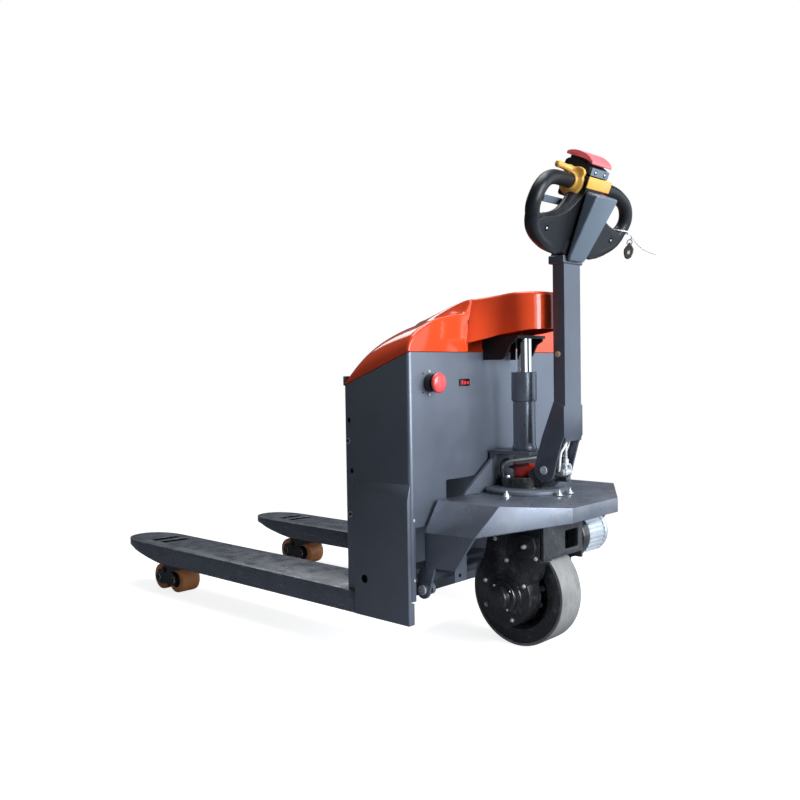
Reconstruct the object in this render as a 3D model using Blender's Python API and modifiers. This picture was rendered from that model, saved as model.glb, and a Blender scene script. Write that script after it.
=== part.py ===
"""Electric pallet truck, 685 mm wide, with its forks partly raised.

Frame: metres, +Z up, +X towards the operator's tiller, forks towards -X.  Z = 0 is the floor.
Sizes along X are first measured from the rear face of the power box; the whole truck then hangs
on the empty "truck_origin", which puts the middle of its length at X = 0.
"left" is the operator's left hand when looking along the forks, which is -Y.
"""

import bpy
import bmesh
from math import atan2, cos, degrees, pi, radians, sin
from mathutils import Matrix, Vector

# ---------------------------------------------------------------- driving dimensions (metres)
ORIGIN_X = 0.4768           # rear face of the power box, measured from the middle of the truck
GAP = 0.0003                # air left between touching pieces

FORK_OUTER = 0.340          # outer side of a fork from the centre plane
FORK_WIDTH = 0.160
FORK_MIDDLE = FORK_OUTER - FORK_WIDTH / 2
FORK_TOP = 0.151
FORK_BOTTOM = 0.098
FORK_TIP = -1.284
FORK_REAR = -0.178
FORK_SKIN = 0.005

BOX_FRONT = -0.214
BOX_HALF = 0.332
BOX_REAR_TOP = 0.721
BOX_FRONT_TOP = 0.644
BOX_SKIN = 0.004
BOX_REAR_BOTTOM = 0.320
BAY_TOP = 0.419             # top of the opening that the drive unit turns in
BAY_HALF = 0.206

ROLLER_R = 0.040
ROLLER_WIDTH = 0.066
ROLLER_X = (-1.109, -1.029)
BOGIE_PIN = (-1.069, 0.068)
YOKE_PIVOT = (-0.920, 0.114)

CRANK_AXIS = (-0.135, 0.150)
ROD_Z = 0.130
LINK_PIN = (0.004, 0.175)   # where a rocker arm of the torsion shaft meets the chassis
APRON_TOP = 0.378
APRON_SKIN = 0.006
WING_Y = 0.299

STEER_X = 0.083             # steering axis
WHEEL_R = 0.132
WHEEL_HALF = 0.0425
GEAR_Y = (-0.096, -0.048)   # the gearbox stands on the left side of the wheel
MOTOR_AXIS = (0.150, 0.262)

TILT_PIN = (0.165, 0.437)   # the tiller tilts about this pin
HEAD_BASE = (0.226, 0.0, 0.930)
HEAD_LEAN = radians(23.3)   # lean of the control head behind the vertical arm


# ---------------------------------------------------------------- scene, collections, materials
for old in list(bpy.data.objects):
    bpy.data.objects.remove(old, do_unlink=True)

truck = bpy.data.collections.new("electric_pallet_truck")
cutters = bpy.data.collections.new("cutters")
for collection in (truck, cutters):
    bpy.context.scene.collection.children.link(collection)


def material(name, colour, roughness, metallic=0.0):
    made = bpy.data.materials.new(name)
    made.use_nodes = True
    shader = made.node_tree.nodes["Principled BSDF"]
    shader.inputs["Base Color"].default_value = (*colour, 1.0)
    shader.inputs["Roughness"].default_value = roughness
    shader.inputs["Metallic"].default_value = metallic
    return made


PAINT = ((0.075, 0.082, 0.098), 0.38, 0.0)
RED_GLOSS = ((0.78, 0.085, 0.025), 0.2, 0.0)
BLACK_GLOSS = ((0.012, 0.012, 0.014), 0.25, 0.0)
BLACK_PLASTIC = ((0.028, 0.03, 0.034), 0.5, 0.0)
ZINC = ((0.62, 0.64, 0.66), 0.3, 1.0)
YELLOW = ((0.78, 0.47, 0.09), 0.4, 0.0)


# ---------------------------------------------------------------- placing
origin = bpy.data.objects.new("truck_origin", None)
origin.location = (ORIGIN_X, 0.0, 0.0)
truck.objects.link(origin)


def axis_empty(name, place, turn=(0.0, 0.0, 0.0)):
    """An empty on a joint's axis; pieces that move about it are parented to it."""
    empty = bpy.data.objects.new(name, None)
    empty.location = place
    empty.rotation_euler = turn
    empty.parent = origin
    truck.objects.link(empty)
    return empty


steering_axis = axis_empty("steering_axis", (STEER_X, 0.0, 0.0))
wheel_axis = axis_empty("wheel_axis", (STEER_X, 0.0, WHEEL_R))
tilt_axis = axis_empty("tilt_axis", (TILT_PIN[0], 0.0, TILT_PIN[1]))
head_frame = axis_empty("head_frame", HEAD_BASE, (0.0, HEAD_LEAN, 0.0))
crank_axis = axis_empty("crank_axis", (CRANK_AXIS[0], 0.0, CRANK_AXIS[1]))
SIDES = (("left", -1), ("right", 1))
yoke_axis = {}
bogie_axis = {}
roller_axis = {}
for side_name, side in SIDES:
    middle = side * FORK_MIDDLE
    yoke_axis[side_name] = axis_empty("yoke_axis_" + side_name, (YOKE_PIVOT[0], middle, YOKE_PIVOT[1]))
    bogie_axis[side_name] = axis_empty("bogie_axis_" + side_name, (BOGIE_PIN[0], middle, BOGIE_PIN[1]))
    for end_name, roller_x in zip(("front", "rear"), ROLLER_X):
        key = side_name + "_" + end_name
        roller_axis[key] = axis_empty("roller_axis_" + key, (roller_x, middle, ROLLER_R))


def place(obj, holder):
    """Parent obj, whose location is in the box frame, to an empty that isn't turned."""
    obj.parent = holder
    if holder is not origin:
        obj.location = Vector(obj.location) - Vector(holder.location)


def finish(obj, look, holder, smooth=30.0):
    """Give a node its own material, its place in the tree and smooth round faces."""
    obj.data.materials.clear()
    obj.data.materials.append(material(obj.name + "_look", *look))
    obj.data.shade_smooth()
    obj.data.set_sharp_from_angle(angle=radians(smooth))
    if holder is head_frame:
        obj.parent = head_frame
    else:
        place(obj, holder)
    return obj


def cutter(obj, holder=origin):
    """Hide a cutting or joining shape and move it to the cutters' collection."""
    truck.objects.unlink(obj)
    cutters.objects.link(obj)
    obj.hide_render = True
    obj.display_type = "WIRE"
    obj.parent = holder
    return obj


# ---------------------------------------------------------------- primitives and modifiers
def object_from(name, bm, location=(0.0, 0.0, 0.0)):
    mesh = bpy.data.meshes.new(name)
    bm.to_mesh(mesh)
    bm.free()
    obj = bpy.data.objects.new(name, mesh)
    obj.location = location
    truck.objects.link(obj)
    return obj


def box(name, low, high, bevel=0.0, segments=1):
    """A box between two corners, with its edges rounded by a Bevel modifier."""
    low = Vector(low)
    high = Vector(high)
    bm = bmesh.new()
    bmesh.ops.create_cube(bm, size=1.0, matrix=Matrix.Diagonal((*(high - low), 1.0)))
    obj = object_from(name, bm, (low + high) / 2)
    if bevel:
        rounded(obj, bevel, segments)
    return obj


def rounded(obj, width, segments=1):
    bevel = obj.modifiers.new("rounded_edges", "BEVEL")
    bevel.width = width
    bevel.segments = segments
    bevel.limit_method = "ANGLE"
    bevel.angle_limit = radians(40)
    return obj


def rod(name, start, end, radius, sides=24, bevel=0.0, radius_end=None):
    """A round bar, or a cone when radius_end is given, between two points."""
    start = Vector(start)
    end = Vector(end)
    turn = (end - start).to_track_quat("Z", "Y").to_matrix().to_4x4()
    bm = bmesh.new()
    bmesh.ops.create_cone(bm, cap_ends=True, segments=sides, radius1=radius,
                          radius2=radius if radius_end is None else radius_end,
                          depth=(end - start).length, matrix=turn)
    obj = object_from(name, bm, (start + end) / 2)
    if bevel:
        rounded(obj, bevel)
    return obj


def turned(name, profile, centre, steps=32):
    """A shape turned about the vertical: the profile runs down its outer side, top to bottom."""
    bm = bmesh.new()
    points = [bm.verts.new((radius, 0.0, height)) for radius, height in profile]
    for first, second in zip(points, points[1:]):
        bm.edges.new((first, second))
    obj = object_from(name, bm, centre)
    screw = obj.modifiers.new("turned", "SCREW")
    screw.axis = "Z"
    screw.steps = steps
    screw.render_steps = steps
    screw.use_merge_vertices = True
    screw.merge_threshold = 0.00005
    return obj


def to_mesh(curve_object):
    """Replace a curve object by a welded mesh, so that it can be cut or joined."""
    bpy.context.view_layer.update()
    evaluated = curve_object.evaluated_get(bpy.context.evaluated_depsgraph_get())
    mesh = bpy.data.meshes.new_from_object(evaluated)
    bm = bmesh.new()
    bm.from_mesh(mesh)
    bmesh.ops.remove_doubles(bm, verts=bm.verts, dist=0.00002)
    bmesh.ops.recalc_face_normals(bm, faces=bm.faces)
    bm.to_mesh(mesh)
    bm.free()
    name = curve_object.name
    curve_object.name = name + "_curve"
    obj = bpy.data.objects.new(name, mesh)
    obj.matrix_world = curve_object.matrix_world
    truck.objects.link(obj)
    bpy.data.objects.remove(curve_object, do_unlink=True)
    return obj


UPRIGHT_XZ = (pi / 2, 0.0, 0.0)     # a drawing in X and Z, its thickness along Y
UPRIGHT_YZ = (pi / 2, 0.0, pi / 2)  # a drawing in Y and Z, its thickness along X


def plate(name, outline, thickness, location=(0.0, 0.0, 0.0), turn=(0.0, 0.0, 0.0), holes=()):
    """A flat outline with holes, extruded to a thickness about its middle plane."""
    curve = bpy.data.curves.new(name, "CURVE")
    curve.dimensions = "2D"
    curve.fill_mode = "BOTH"
    curve.extrude = thickness / 2
    for loop in (outline, *holes):
        spline = curve.splines.new("POLY")
        spline.points.add(len(loop) - 1)
        for point, (across, up) in zip(spline.points, loop):
            point.co = (across, up, 0.0, 1.0)
        spline.use_cyclic_u = True
    obj = bpy.data.objects.new(name, curve)
    obj.location = location
    obj.rotation_euler = turn
    truck.objects.link(obj)
    return to_mesh(obj)


def tube(name, points, radius, resolution=2, location=(0.0, 0.0, 0.0)):
    """A round tube or wire along a smooth list of points."""
    curve = bpy.data.curves.new(name, "CURVE")
    curve.dimensions = "3D"
    curve.bevel_depth = radius
    curve.bevel_resolution = resolution
    curve.use_fill_caps = True
    spline = curve.splines.new("POLY")
    spline.points.add(len(points) - 1)
    for point, place_at in zip(spline.points, points):
        point.co = (*place_at, 1.0)
    obj = bpy.data.objects.new(name, curve)
    obj.location = location
    truck.objects.link(obj)
    return to_mesh(obj)


def smooth_route(points, steps):
    """A Catmull-Rom curve through a few route points."""
    points = [Vector(point) for point in points]
    route = []
    for index in range(len(points) - 1):
        before = points[max(index - 1, 0)]
        start, end = points[index], points[index + 1]
        after = points[min(index + 2, len(points) - 1)]
        for step in range(steps):
            t = step / steps
            route.append(0.5 * ((2 * start) + (end - before) * t
                                + (2 * before - 5 * start + 4 * end - after) * t * t
                                + (3 * start - before - 3 * end + after) * t ** 3))
    route.append(points[-1])
    return route


def boolean(obj, other, operation, holder=origin):
    """Cut other out of obj, or join it on; other is hidden with the cutters."""
    step = obj.modifiers.new(operation.lower(), "BOOLEAN")
    step.operation = operation
    step.object = cutter(other, holder)
    step.solver = "EXACT"
    return obj


def cut(obj, other, holder=origin):
    return boolean(obj, other, "DIFFERENCE", holder)


def joined(obj, other, holder=origin):
    return boolean(obj, other, "UNION", holder)


def arc(centre, radius, start, end, count):
    """Points on an arc, with angles in degrees."""
    angles = [radians(start + (end - start) * index / (count - 1)) for index in range(count)]
    return [(centre[0] + radius * cos(a), centre[1] + radius * sin(a)) for a in angles]


def math_angle(direction):
    """Heading of a plane vector in degrees."""
    return degrees(atan2(direction[1], direction[0]))


def circle(centre, radius, count=24):
    return arc(centre, radius, 0.0, 360.0 * (count - 1) / count, count)


def mirrored(outline):
    """Complete a half outline given for +Y, from the bottom up, by its mirror image."""
    return list(outline) + [(-across, up) for across, up in reversed(outline) if across > 0]


# ---------------------------------------------------------------- forks and their rollers
TIP_START = -1.150
TIP_POWER = 2.2


def fork_outline(grow=0.0):
    """Half of the plan is straight, and the tip is a super-ellipse."""
    half = FORK_WIDTH / 2 - grow
    length = TIP_START - FORK_TIP - grow
    tip = []
    for index in range(15):
        angle = -pi / 2 + pi * index / 14
        along = abs(cos(angle)) ** (2 / TIP_POWER)
        across = abs(sin(angle)) ** (2 / TIP_POWER) * (1 if angle > 0 else -1)
        tip.append((TIP_START - length * along, half * across))
    return [(FORK_REAR, -half)] + tip + [(FORK_REAR, half)]


def make_fork(side_name, side):
    middle = side * FORK_MIDDLE
    name = "fork_" + side_name
    fork = plate(name, fork_outline(), FORK_TOP - FORK_BOTTOM, (0.0, middle, (FORK_TOP + FORK_BOTTOM) / 2))
    half = FORK_WIDTH / 2 - FORK_SKIN
    cut(fork, box(name + "_channel", (-1.172, middle - half, 0.05), (0.1, middle + half, FORK_TOP - FORK_SKIN)))
    ramp = [(-1.045, 0.05), (-1.045, 0.0975), (-1.103, 0.106), (-1.167, 0.119), (-1.210, 0.130),
            (-1.300, 0.134), (-1.300, 0.05)]
    cut(fork, plate(name + "_ramp", ramp, 0.30, (0.0, middle, 0.0), UPRIGHT_XZ))
    for slot_x in (-1.146, -1.092):
        slot = [(slot_x - 0.016, -0.036), (slot_x + 0.014, -0.036), (slot_x + 0.026, 0.050), (slot_x - 0.004, 0.050)]
        cut(fork, plate(name + "_slot", slot, 0.08, (0.0, middle, FORK_TOP)))
    cut(fork, box(name + "_heel_step", (BOX_FRONT - 0.002, middle - 0.1, FORK_TOP - 0.001), (0.1, middle + 0.1, 0.2)))
    reach = FORK_WIDTH / 2 - FORK_SKIN / 2
    joined(fork, rod(name + "_pivot", (YOKE_PIVOT[0], middle - reach, YOKE_PIVOT[1]),
                     (YOKE_PIVOT[0], middle + reach, YOKE_PIVOT[1]), 0.0100, 12))
    return finish(fork, PAINT, origin)


def make_running_gear(side_name, side):
    """Yoke arms, bogie plates, axles and two rollers under one fork."""
    middle = side * FORK_MIDDLE
    pivot_x, pivot_z = YOKE_PIVOT
    pin_x, pin_z = BOGIE_PIN

    run = Vector((pin_x - pivot_x, pin_z - pivot_z)).normalized()
    slope = Vector((-run.y, run.x)) * 0.013
    if slope.y < 0:
        slope = -slope
    heading = math_angle(slope)
    arm = arc(YOKE_PIVOT, 0.013, heading, heading - 180.0, 6)
    arm += arc(BOGIE_PIN, 0.013, heading - 180.0, heading - 360.0, 6)
    holes = (circle(BOGIE_PIN, 0.0084, 12), circle(YOKE_PIVOT, 0.0105, 12))
    yoke = plate("roller_yoke_" + side_name, arm, 0.005, (0.0, middle - 0.0455, 0.0), UPRIGHT_XZ, holes)
    joined(yoke, plate("far_arm", arm, 0.005, (0.0, middle + 0.0455, 0.0), UPRIGHT_XZ, holes))
    joined(yoke, rod("tie", (pivot_x - 0.030, middle - 0.0465, pivot_z - 0.011),
                     (pivot_x - 0.030, middle + 0.0465, pivot_z - 0.011), 0.0085, 8))
    finish(yoke, BLACK_GLOSS, yoke_axis[side_name])

    hull = arc((ROLLER_X[1], ROLLER_R), 0.016, -90.0, 45.0, 4) + arc(BOGIE_PIN, 0.013, 45.0, 135.0, 4)
    hull += arc((ROLLER_X[0], ROLLER_R), 0.016, 135.0, 270.0, 4)
    bogie = plate("bogie_" + side_name, hull, 0.004, (0.0, middle - 0.0395, 0.0), UPRIGHT_XZ)
    joined(bogie, plate("far_plate", hull, 0.004, (0.0, middle + 0.0395, 0.0), UPRIGHT_XZ))
    for x, z, reach in ((ROLLER_X[0], ROLLER_R, 0.0475), (ROLLER_X[1], ROLLER_R, 0.0475), (*BOGIE_PIN, 0.0530)):
        joined(bogie, rod("axle", (x, middle - reach, z), (x, middle + reach, z), 0.0079, 12))
    finish(bogie, BLACK_GLOSS, bogie_axis[side_name])

    push = rod("push_rod_" + side_name, (-0.880, middle, ROD_Z), (-0.150, middle, ROD_Z), 0.007, 12)
    joined(push, box("eye", (-0.890, middle - 0.011, ROD_Z - 0.011), (-0.862, middle + 0.011, ROD_Z + 0.011), 0.003))
    finish(push, ZINC, origin)

    half = ROLLER_WIDTH / 2
    for end_name, x in zip(("front", "rear"), ROLLER_X):
        key = side_name + "_" + end_name
        roller = rod("load_roller_" + key, (x, middle - half, ROLLER_R), (x, middle + half, ROLLER_R),
                     ROLLER_R, 24, 0.003)
        cut(roller, rod("bore", (x, middle - 0.05, ROLLER_R), (x, middle + 0.05, ROLLER_R), 0.0084, 16))
        finish(roller, ((0.42, 0.14, 0.04), 0.45, 0.0), roller_axis[key])


for side_name, side in SIDES:
    make_fork(side_name, side)
    make_running_gear(side_name, side)

def make_torsion_shaft():
    """A shaft across the truck with rocker arms to the chassis and short cranks to the push rods."""
    x, z = CRANK_AXIS
    shaft = rod("torsion_shaft", (x, -0.3225, z), (x, 0.3225, z), 0.013, 20)
    reach = Vector((LINK_PIN[0] - x, LINK_PIN[1] - z))
    heading = math_angle(reach)
    for side in (-1, 1):
        arm = arc(CRANK_AXIS, 0.020, heading + 90.0, heading + 270.0, 9)
        arm += arc(LINK_PIN, 0.014, heading - 90.0, heading + 90.0, 9)
        joined(shaft, plate("rocker", arm, 0.010, (0.0, side * 0.274, 0.0), UPRIGHT_XZ))
        crank = arc((x, ROD_Z), 0.009, 180.0, 360.0, 7) + [(x + 0.010, z), (x - 0.010, z)]
        joined(shaft, plate("crank", crank, 0.008, (0.0, side * 0.248, 0.0), UPRIGHT_XZ))
    finish(shaft, PAINT, crank_axis)


make_torsion_shaft()

# ---------------------------------------------------------------- power box
def make_side_member(side_name, side):
    """The thick plate that carries a fork's rear end, beveled back to the box at its top."""
    section = [(0.323, FORK_BOTTOM), (0.343, FORK_BOTTOM), (0.343, 0.386), (0.3323, 0.421),
               (0.3323, FORK_TOP - 0.003), (0.323, FORK_TOP - 0.003)]
    outline = [(side * across, up) for across, up in section]
    member = plate("side_member_" + side_name, outline, 0.176, (-0.088, 0.0, 0.0), UPRIGHT_YZ)
    return finish(rounded(member, 0.0015, 1), PAINT, origin)


for side_name, side in SIDES:
    make_side_member(side_name, side)

profile = [(BOX_FRONT, FORK_TOP + GAP), (0.0, FORK_TOP + GAP), (0.0, BOX_REAR_TOP), (BOX_FRONT, BOX_FRONT_TOP)]
power_box = plate("power_box", profile, 2 * BOX_HALF, (0.0, 0.0, 0.0), UPRIGHT_XZ)
inner_half = BOX_HALF - BOX_SKIN
cut(power_box, box("box_inside", (BOX_FRONT + BOX_SKIN, -inner_half, 0.1), (-BOX_SKIN, inner_half, 0.9)))
cut(power_box, box("box_foot_opening", (-0.02, -0.317, 0.1), (0.02, 0.317, BOX_REAR_BOTTOM)))
cut(power_box, box("box_drive_bay", (-0.02, -BAY_HALF, 0.1), (0.02, BAY_HALF, BAY_TOP)))
joined(power_box, box("cross_member", (BOX_FRONT, -FORK_OUTER + FORK_WIDTH + GAP, FORK_BOTTOM + 0.004),
                      (-0.165, FORK_OUTER - FORK_WIDTH - GAP, FORK_TOP + 0.020), 0.003))
finish(power_box, PAINT, origin)

tray = box("battery_tray", (BOX_FRONT + BOX_SKIN + GAP, -inner_half + GAP, 0.4215),
           (-BOX_SKIN - GAP, inner_half - GAP, 0.4255))
finish(tray, PAINT, origin)
battery = box("battery_pack", (-0.195, -0.295, 0.426), (-0.025, 0.080, 0.632), 0.006)
finish(battery, ((0.05, 0.05, 0.055), 0.5, 0.0), origin)
pump = rod("pump_motor", (-0.110, 0.235, 0.426), (-0.110, 0.235, 0.560), 0.052, 24, 0.003)
joined(pump, box("oil_tank", (-0.180, 0.165, 0.5605 - 0.002), (-0.040, 0.305, 0.640), 0.004))
pump.name = "hydraulic_power_pack"
finish(pump, BLACK_GLOSS, origin)
controller = box("motor_controller", (-0.185, 0.095, 0.426), (-0.035, 0.150, 0.545), 0.003)
finish(controller, ((0.35, 0.36, 0.38), 0.4, 1.0), origin)


# ---------------------------------------------------------------- top cover
COVER_SKIN = 0.003
NOSE_HALF = 0.126


def edge_height(x):
    """The box's sloping top edge."""
    return BOX_REAR_TOP + (BOX_REAR_TOP - BOX_FRONT_TOP) * x / -BOX_FRONT


def smoothstep(low, high, value):
    t = min(max((value - low) / (high - low), 0.0), 1.0)
    return t * t * (3 - 2 * t)


def cover_height(x, y):
    """Height of the cover over the box: two rounded shoulders and a spine that runs to the nose."""
    edge = edge_height(x) + 0.008
    front = smoothstep(BOX_FRONT - 0.02, -0.05, x)
    crown = edge + 0.030 + 0.072 * front
    across = min(abs(y) / BOX_HALF, 1.0)
    shoulder = edge + (crown - edge) * (1.0 - across ** 2) ** 0.6
    spine_top = 0.800 + 0.063 * smoothstep(-0.215, 0.02, x)
    spine = smoothstep(0.128, 0.096, abs(y)) if abs(y) > 0.096 else 1.0
    spine *= smoothstep(BOX_FRONT - 0.01, BOX_FRONT + 0.055, x)
    return shoulder + max(spine_top - shoulder, 0.0) * spine


def nose_outline(inset):
    """Plan of the nose, from its left root inside the cover round to its right root."""
    half = [(-0.035, -0.124 + inset), (-0.001, -0.124 + inset)]
    for index in range(1, 5):
        t = index / 4
        half.append((0.062 * t, -0.124 + 0.052 * smoothstep(0.0, 1.0, t) + inset))
    half += [(0.104, -0.072 + inset)]
    half += [(0.112 + (0.0535 - inset) * sin(radians(a)), -0.018 - (0.054 - inset) * cos(radians(a)))
             for a in (22, 45, 68, 90)]
    return half + [(x, -y) for x, y in reversed(half)]


def rim(x):
    """The cover's lower edge, just above the box's rim."""
    return max(edge_height(x), edge_height(BOX_FRONT + 0.0045)) + GAP


ALONG = [BOX_FRONT, -0.204, -0.185, -0.150, -0.100, -0.050, 0.0]
ACROSS = [-0.332, -0.327, -0.305, -0.265, -0.210, -0.160, -0.128, -0.117, -0.107, -0.096, -0.045, 0.0]
ACROSS += [-y for y in reversed(ACROSS[:-1])]


def cover_block(name, inset, drop):
    """The cover's body as a closed block: a field of heights over a floor that follows the rim."""
    bm = bmesh.new()
    shrink_x = (-BOX_FRONT - 2 * inset) / -BOX_FRONT
    shrink_y = (BOX_HALF - inset) / BOX_HALF
    top, floor = [], []
    for x in ALONG:
        at_x = BOX_FRONT + inset + (x - BOX_FRONT) * shrink_x
        top.append([])
        floor.append([])
        for y in ACROSS:
            height = edge_height(x) + 0.0075 if abs(y) > 0.3319 else cover_height(x, y)
            top[-1].append(bm.verts.new((at_x, y * shrink_y, height - 1.2 * inset)))
            floor[-1].append(bm.verts.new((at_x, y * shrink_y, rim(x) - drop)))
    for i in range(len(ALONG) - 1):
        for j in range(len(ACROSS) - 1):
            bm.faces.new((top[i][j], top[i + 1][j], top[i + 1][j + 1], top[i][j + 1]))
            bm.faces.new((floor[i][j + 1], floor[i + 1][j + 1], floor[i + 1][j], floor[i][j]))
    for i in range(len(ALONG) - 1):
        bm.faces.new((top[i][0], floor[i][0], floor[i + 1][0], top[i + 1][0]))
        bm.faces.new((top[i + 1][-1], floor[i + 1][-1], floor[i][-1], top[i][-1]))
    for j in range(len(ACROSS) - 1):
        bm.faces.new((top[0][j + 1], floor[0][j + 1], floor[0][j], top[0][j]))
        bm.faces.new((top[-1][j], floor[-1][j], floor[-1][j + 1], top[-1][j + 1]))
    bmesh.ops.recalc_face_normals(bm, faces=bm.faces)
    return object_from(name, bm)


def nose_block(name, inset, drop):
    """The nose as a block: its plan, trimmed to its side view."""
    block = plate(name, nose_outline(inset), 0.20, (0.0, 0.0, 0.80))
    side_view = [(-0.10, 0.722 - drop), (-0.001, 0.722 - drop), (0.0, 0.743 - drop), (0.065, 0.764 - drop),
                 (0.114, 0.772 - drop), (0.180, 0.776 - drop), (0.180, 0.855 - inset), (0.150, 0.8625 - inset),
                 (-0.10, 0.8625 - inset)]
    return boolean(block, plate(name + "_side_view", side_view, 0.40, (0.0, 0.0, 0.0), UPRIGHT_XZ), "INTERSECT")


def make_cover():
    """A thin moulding: an outer block with its nose, hollowed by a smaller one of the same form."""
    cover = cover_block("top_cover", 0.0, 0.0)
    joined(cover, nose_block("nose", 0.0, 0.0))
    cut(cover, cover_block("cover_hollow", COVER_SKIN, 0.05))
    cut(cover, nose_block("nose_hollow", COVER_SKIN, 0.06))
    return finish(cover, RED_GLOSS, origin, 35.0)


make_cover()


# ---------------------------------------------------------------- on the power box
ESTOP = (-0.261, 0.650)
collar = rod("emergency_stop_collar", (GAP, ESTOP[0], ESTOP[1]), (0.016, ESTOP[0], ESTOP[1]), 0.021, 24, 0.001)
cut(collar, rod("button_bore", (0.005, ESTOP[0], ESTOP[1]), (0.03, ESTOP[0], ESTOP[1]), 0.0114, 20))
finish(collar, BLACK_PLASTIC, origin)
button = rod("emergency_stop_button", (0.025, ESTOP[0], ESTOP[1]), (0.037, ESTOP[0], ESTOP[1]), 0.0265, 28, 0.004)
joined(button, rod("button_stem", (0.0135, ESTOP[0], ESTOP[1]), (0.030, ESTOP[0], ESTOP[1]), 0.0110, 20))
finish(button, ((0.8, 0.06, 0.04), 0.35, 0.0), origin)
display = box("battery_display", (GAP, -0.152, 0.640), (0.003, -0.114, 0.657), 0.0008, 1)
finish(display, BLACK_GLOSS, origin)

lift_rod = rod("lift_rod", (0.082, 0.0, 0.572), (0.082, 0.0, 0.7525), 0.020, 24)
finish(lift_rod, ((0.8, 0.81, 0.82), 0.1, 1.0), origin)
rod_bracket = box("rod_head_bracket", (GAP, -0.060, 0.7528), (0.106, 0.060, 0.760))
joined(rod_bracket, box("bracket_back", (GAP, -0.060, 0.730), (0.007, 0.060, 0.760)))
for side in (-1, 1):
    cheek = [(0.003, 0.702), (0.058, 0.702), (0.070, 0.712), (0.084, 0.738), (0.100, 0.747), (0.100, 0.7595), (0.003, 0.7595)]
    joined(rod_bracket, plate("bracket_cheek", cheek, 0.006, (0.0, side * 0.057, 0.0), UPRIGHT_XZ))
finish(rod_bracket, BLACK_GLOSS, origin)


# ---------------------------------------------------------------- chassis
def make_apron():
    """One bent sheet: deck, rear flap with its rim, sloping shoulders and upright wings with ears."""
    half = {
        "deck_front": (0.011, 0.250, APRON_TOP), "deck_rear": (0.187, 0.250, APRON_TOP),
        "flap": (0.281, 0.101, 0.365), "flap_low": (0.281, 0.101, 0.331),
        "crease_front": (0.011, WING_Y, 0.308), "crease_rear": (0.156, WING_Y, 0.312),
        "wing_rear": (0.098, WING_Y, 0.231), "wing_front": (0.011, WING_Y, 0.228),
    }
    ear = arc(LINK_PIN, 0.021, -180.0, 0.0, 9)
    bm = bmesh.new()
    found = {}
    for side in (-1, 1):
        for name, (x, y, z) in half.items():
            found[name, side] = bm.verts.new((x, side * y, z))
        found["ear", side] = [bm.verts.new((x, side * WING_Y, z)) for x, z in ear]
        found["neck", side] = bm.verts.new((0.040, side * WING_Y, 0.229))
        found["neck_front", side] = bm.verts.new((-0.004, side * WING_Y, 0.228))

    def face(side, *names):
        corners = [found[name, side] if isinstance(name, str) else found[name] for name in names]
        bm.faces.new(corners if side > 0 else corners[::-1])

    for side in (-1, 1):
        face(side, "deck_front", "deck_rear", "crease_rear", "crease_front")
        face(side, "deck_rear", "flap", "flap_low", "crease_rear")
        face(side, "crease_front", "crease_rear", "wing_rear", "neck", "wing_front")
        corners = [found["wing_front", side], found["neck", side], *found["ear", side][::-1],
                   found["neck_front", side]]
        bm.faces.new(corners if side > 0 else corners[::-1])
    bm.faces.new([found[key] for key in (("deck_front", -1), ("deck_rear", -1), ("deck_rear", 1), ("deck_front", 1))])
    bm.faces.new([found[key] for key in (("deck_rear", -1), ("flap", -1), ("flap", 1), ("deck_rear", 1))])
    bm.faces.new([found[key] for key in (("flap", -1), ("flap_low", -1), ("flap_low", 1), ("flap", 1))])
    bmesh.ops.recalc_face_normals(bm, faces=bm.faces)
    apron = object_from("chassis_apron", bm)
    sheet = apron.modifiers.new("sheet", "SOLIDIFY")
    sheet.thickness = APRON_SKIN
    sheet.offset = -1.0
    sheet.use_even_offset = True
    cut(apron, rod("turntable_hole", (STEER_X, 0.0, 0.30), (STEER_X, 0.0, 0.42), 0.0640, 32))
    for side in (-1, 1):
        cut(apron, rod("pin_hole", (LINK_PIN[0], side * 0.28, LINK_PIN[1]), (LINK_PIN[0], side * 0.32, LINK_PIN[1]),
                       0.0083, 16))
    return finish(apron, PAINT, origin)


make_apron()

for side_name, side in SIDES:
    pin = rod("link_pin_" + side_name, (LINK_PIN[0], side * 0.2820, LINK_PIN[1]),
              (LINK_PIN[0], side * 0.3030, LINK_PIN[1]), 0.0080, 16)
    joined(pin, rod("pin_head", (LINK_PIN[0], side * 0.2990 + side * GAP, LINK_PIN[1]),
                    (LINK_PIN[0], side * 0.3040, LINK_PIN[1]), 0.0115, 20))
    finish(pin, ZINC, origin)

MAST_HALF = 0.045
MAST_TOP = 0.478
profile = [(0.008, APRON_TOP + GAP), (0.020, APRON_TOP + GAP), (0.020, 0.452), (0.025, 0.464), (0.036, 0.470),
           (0.127, 0.470), (0.127, MAST_TOP), (0.008, MAST_TOP)]
mast = plate("mast_bracket", profile, 2 * MAST_HALF, (0.0, 0.0, 0.0), UPRIGHT_XZ)
gusset = [(-0.158, APRON_TOP + GAP), (0.158, APRON_TOP + GAP), (0.150, 0.386), (0.044, 0.458), (-0.044, 0.458),
          (-0.150, 0.386)]
joined(mast, plate("gusset", gusset, 0.0085, (0.0125, 0.0, 0.0), UPRIGHT_YZ))
finish(mast, PAINT, origin)

ring = turned("steering_ring", [(0.0625, 0.391), (0.098, 0.391), (0.104, 0.386), (0.104, APRON_TOP + GAP),
                                (0.0625, APRON_TOP + GAP), (0.0625, 0.391)], (STEER_X, 0.0, 0.0), 32)
notch = box("mast_notch", (-0.03, -0.170, 0.30), (0.0225, 0.170, 0.42))
cut(ring, notch)
finish(ring, PAINT, origin)

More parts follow.
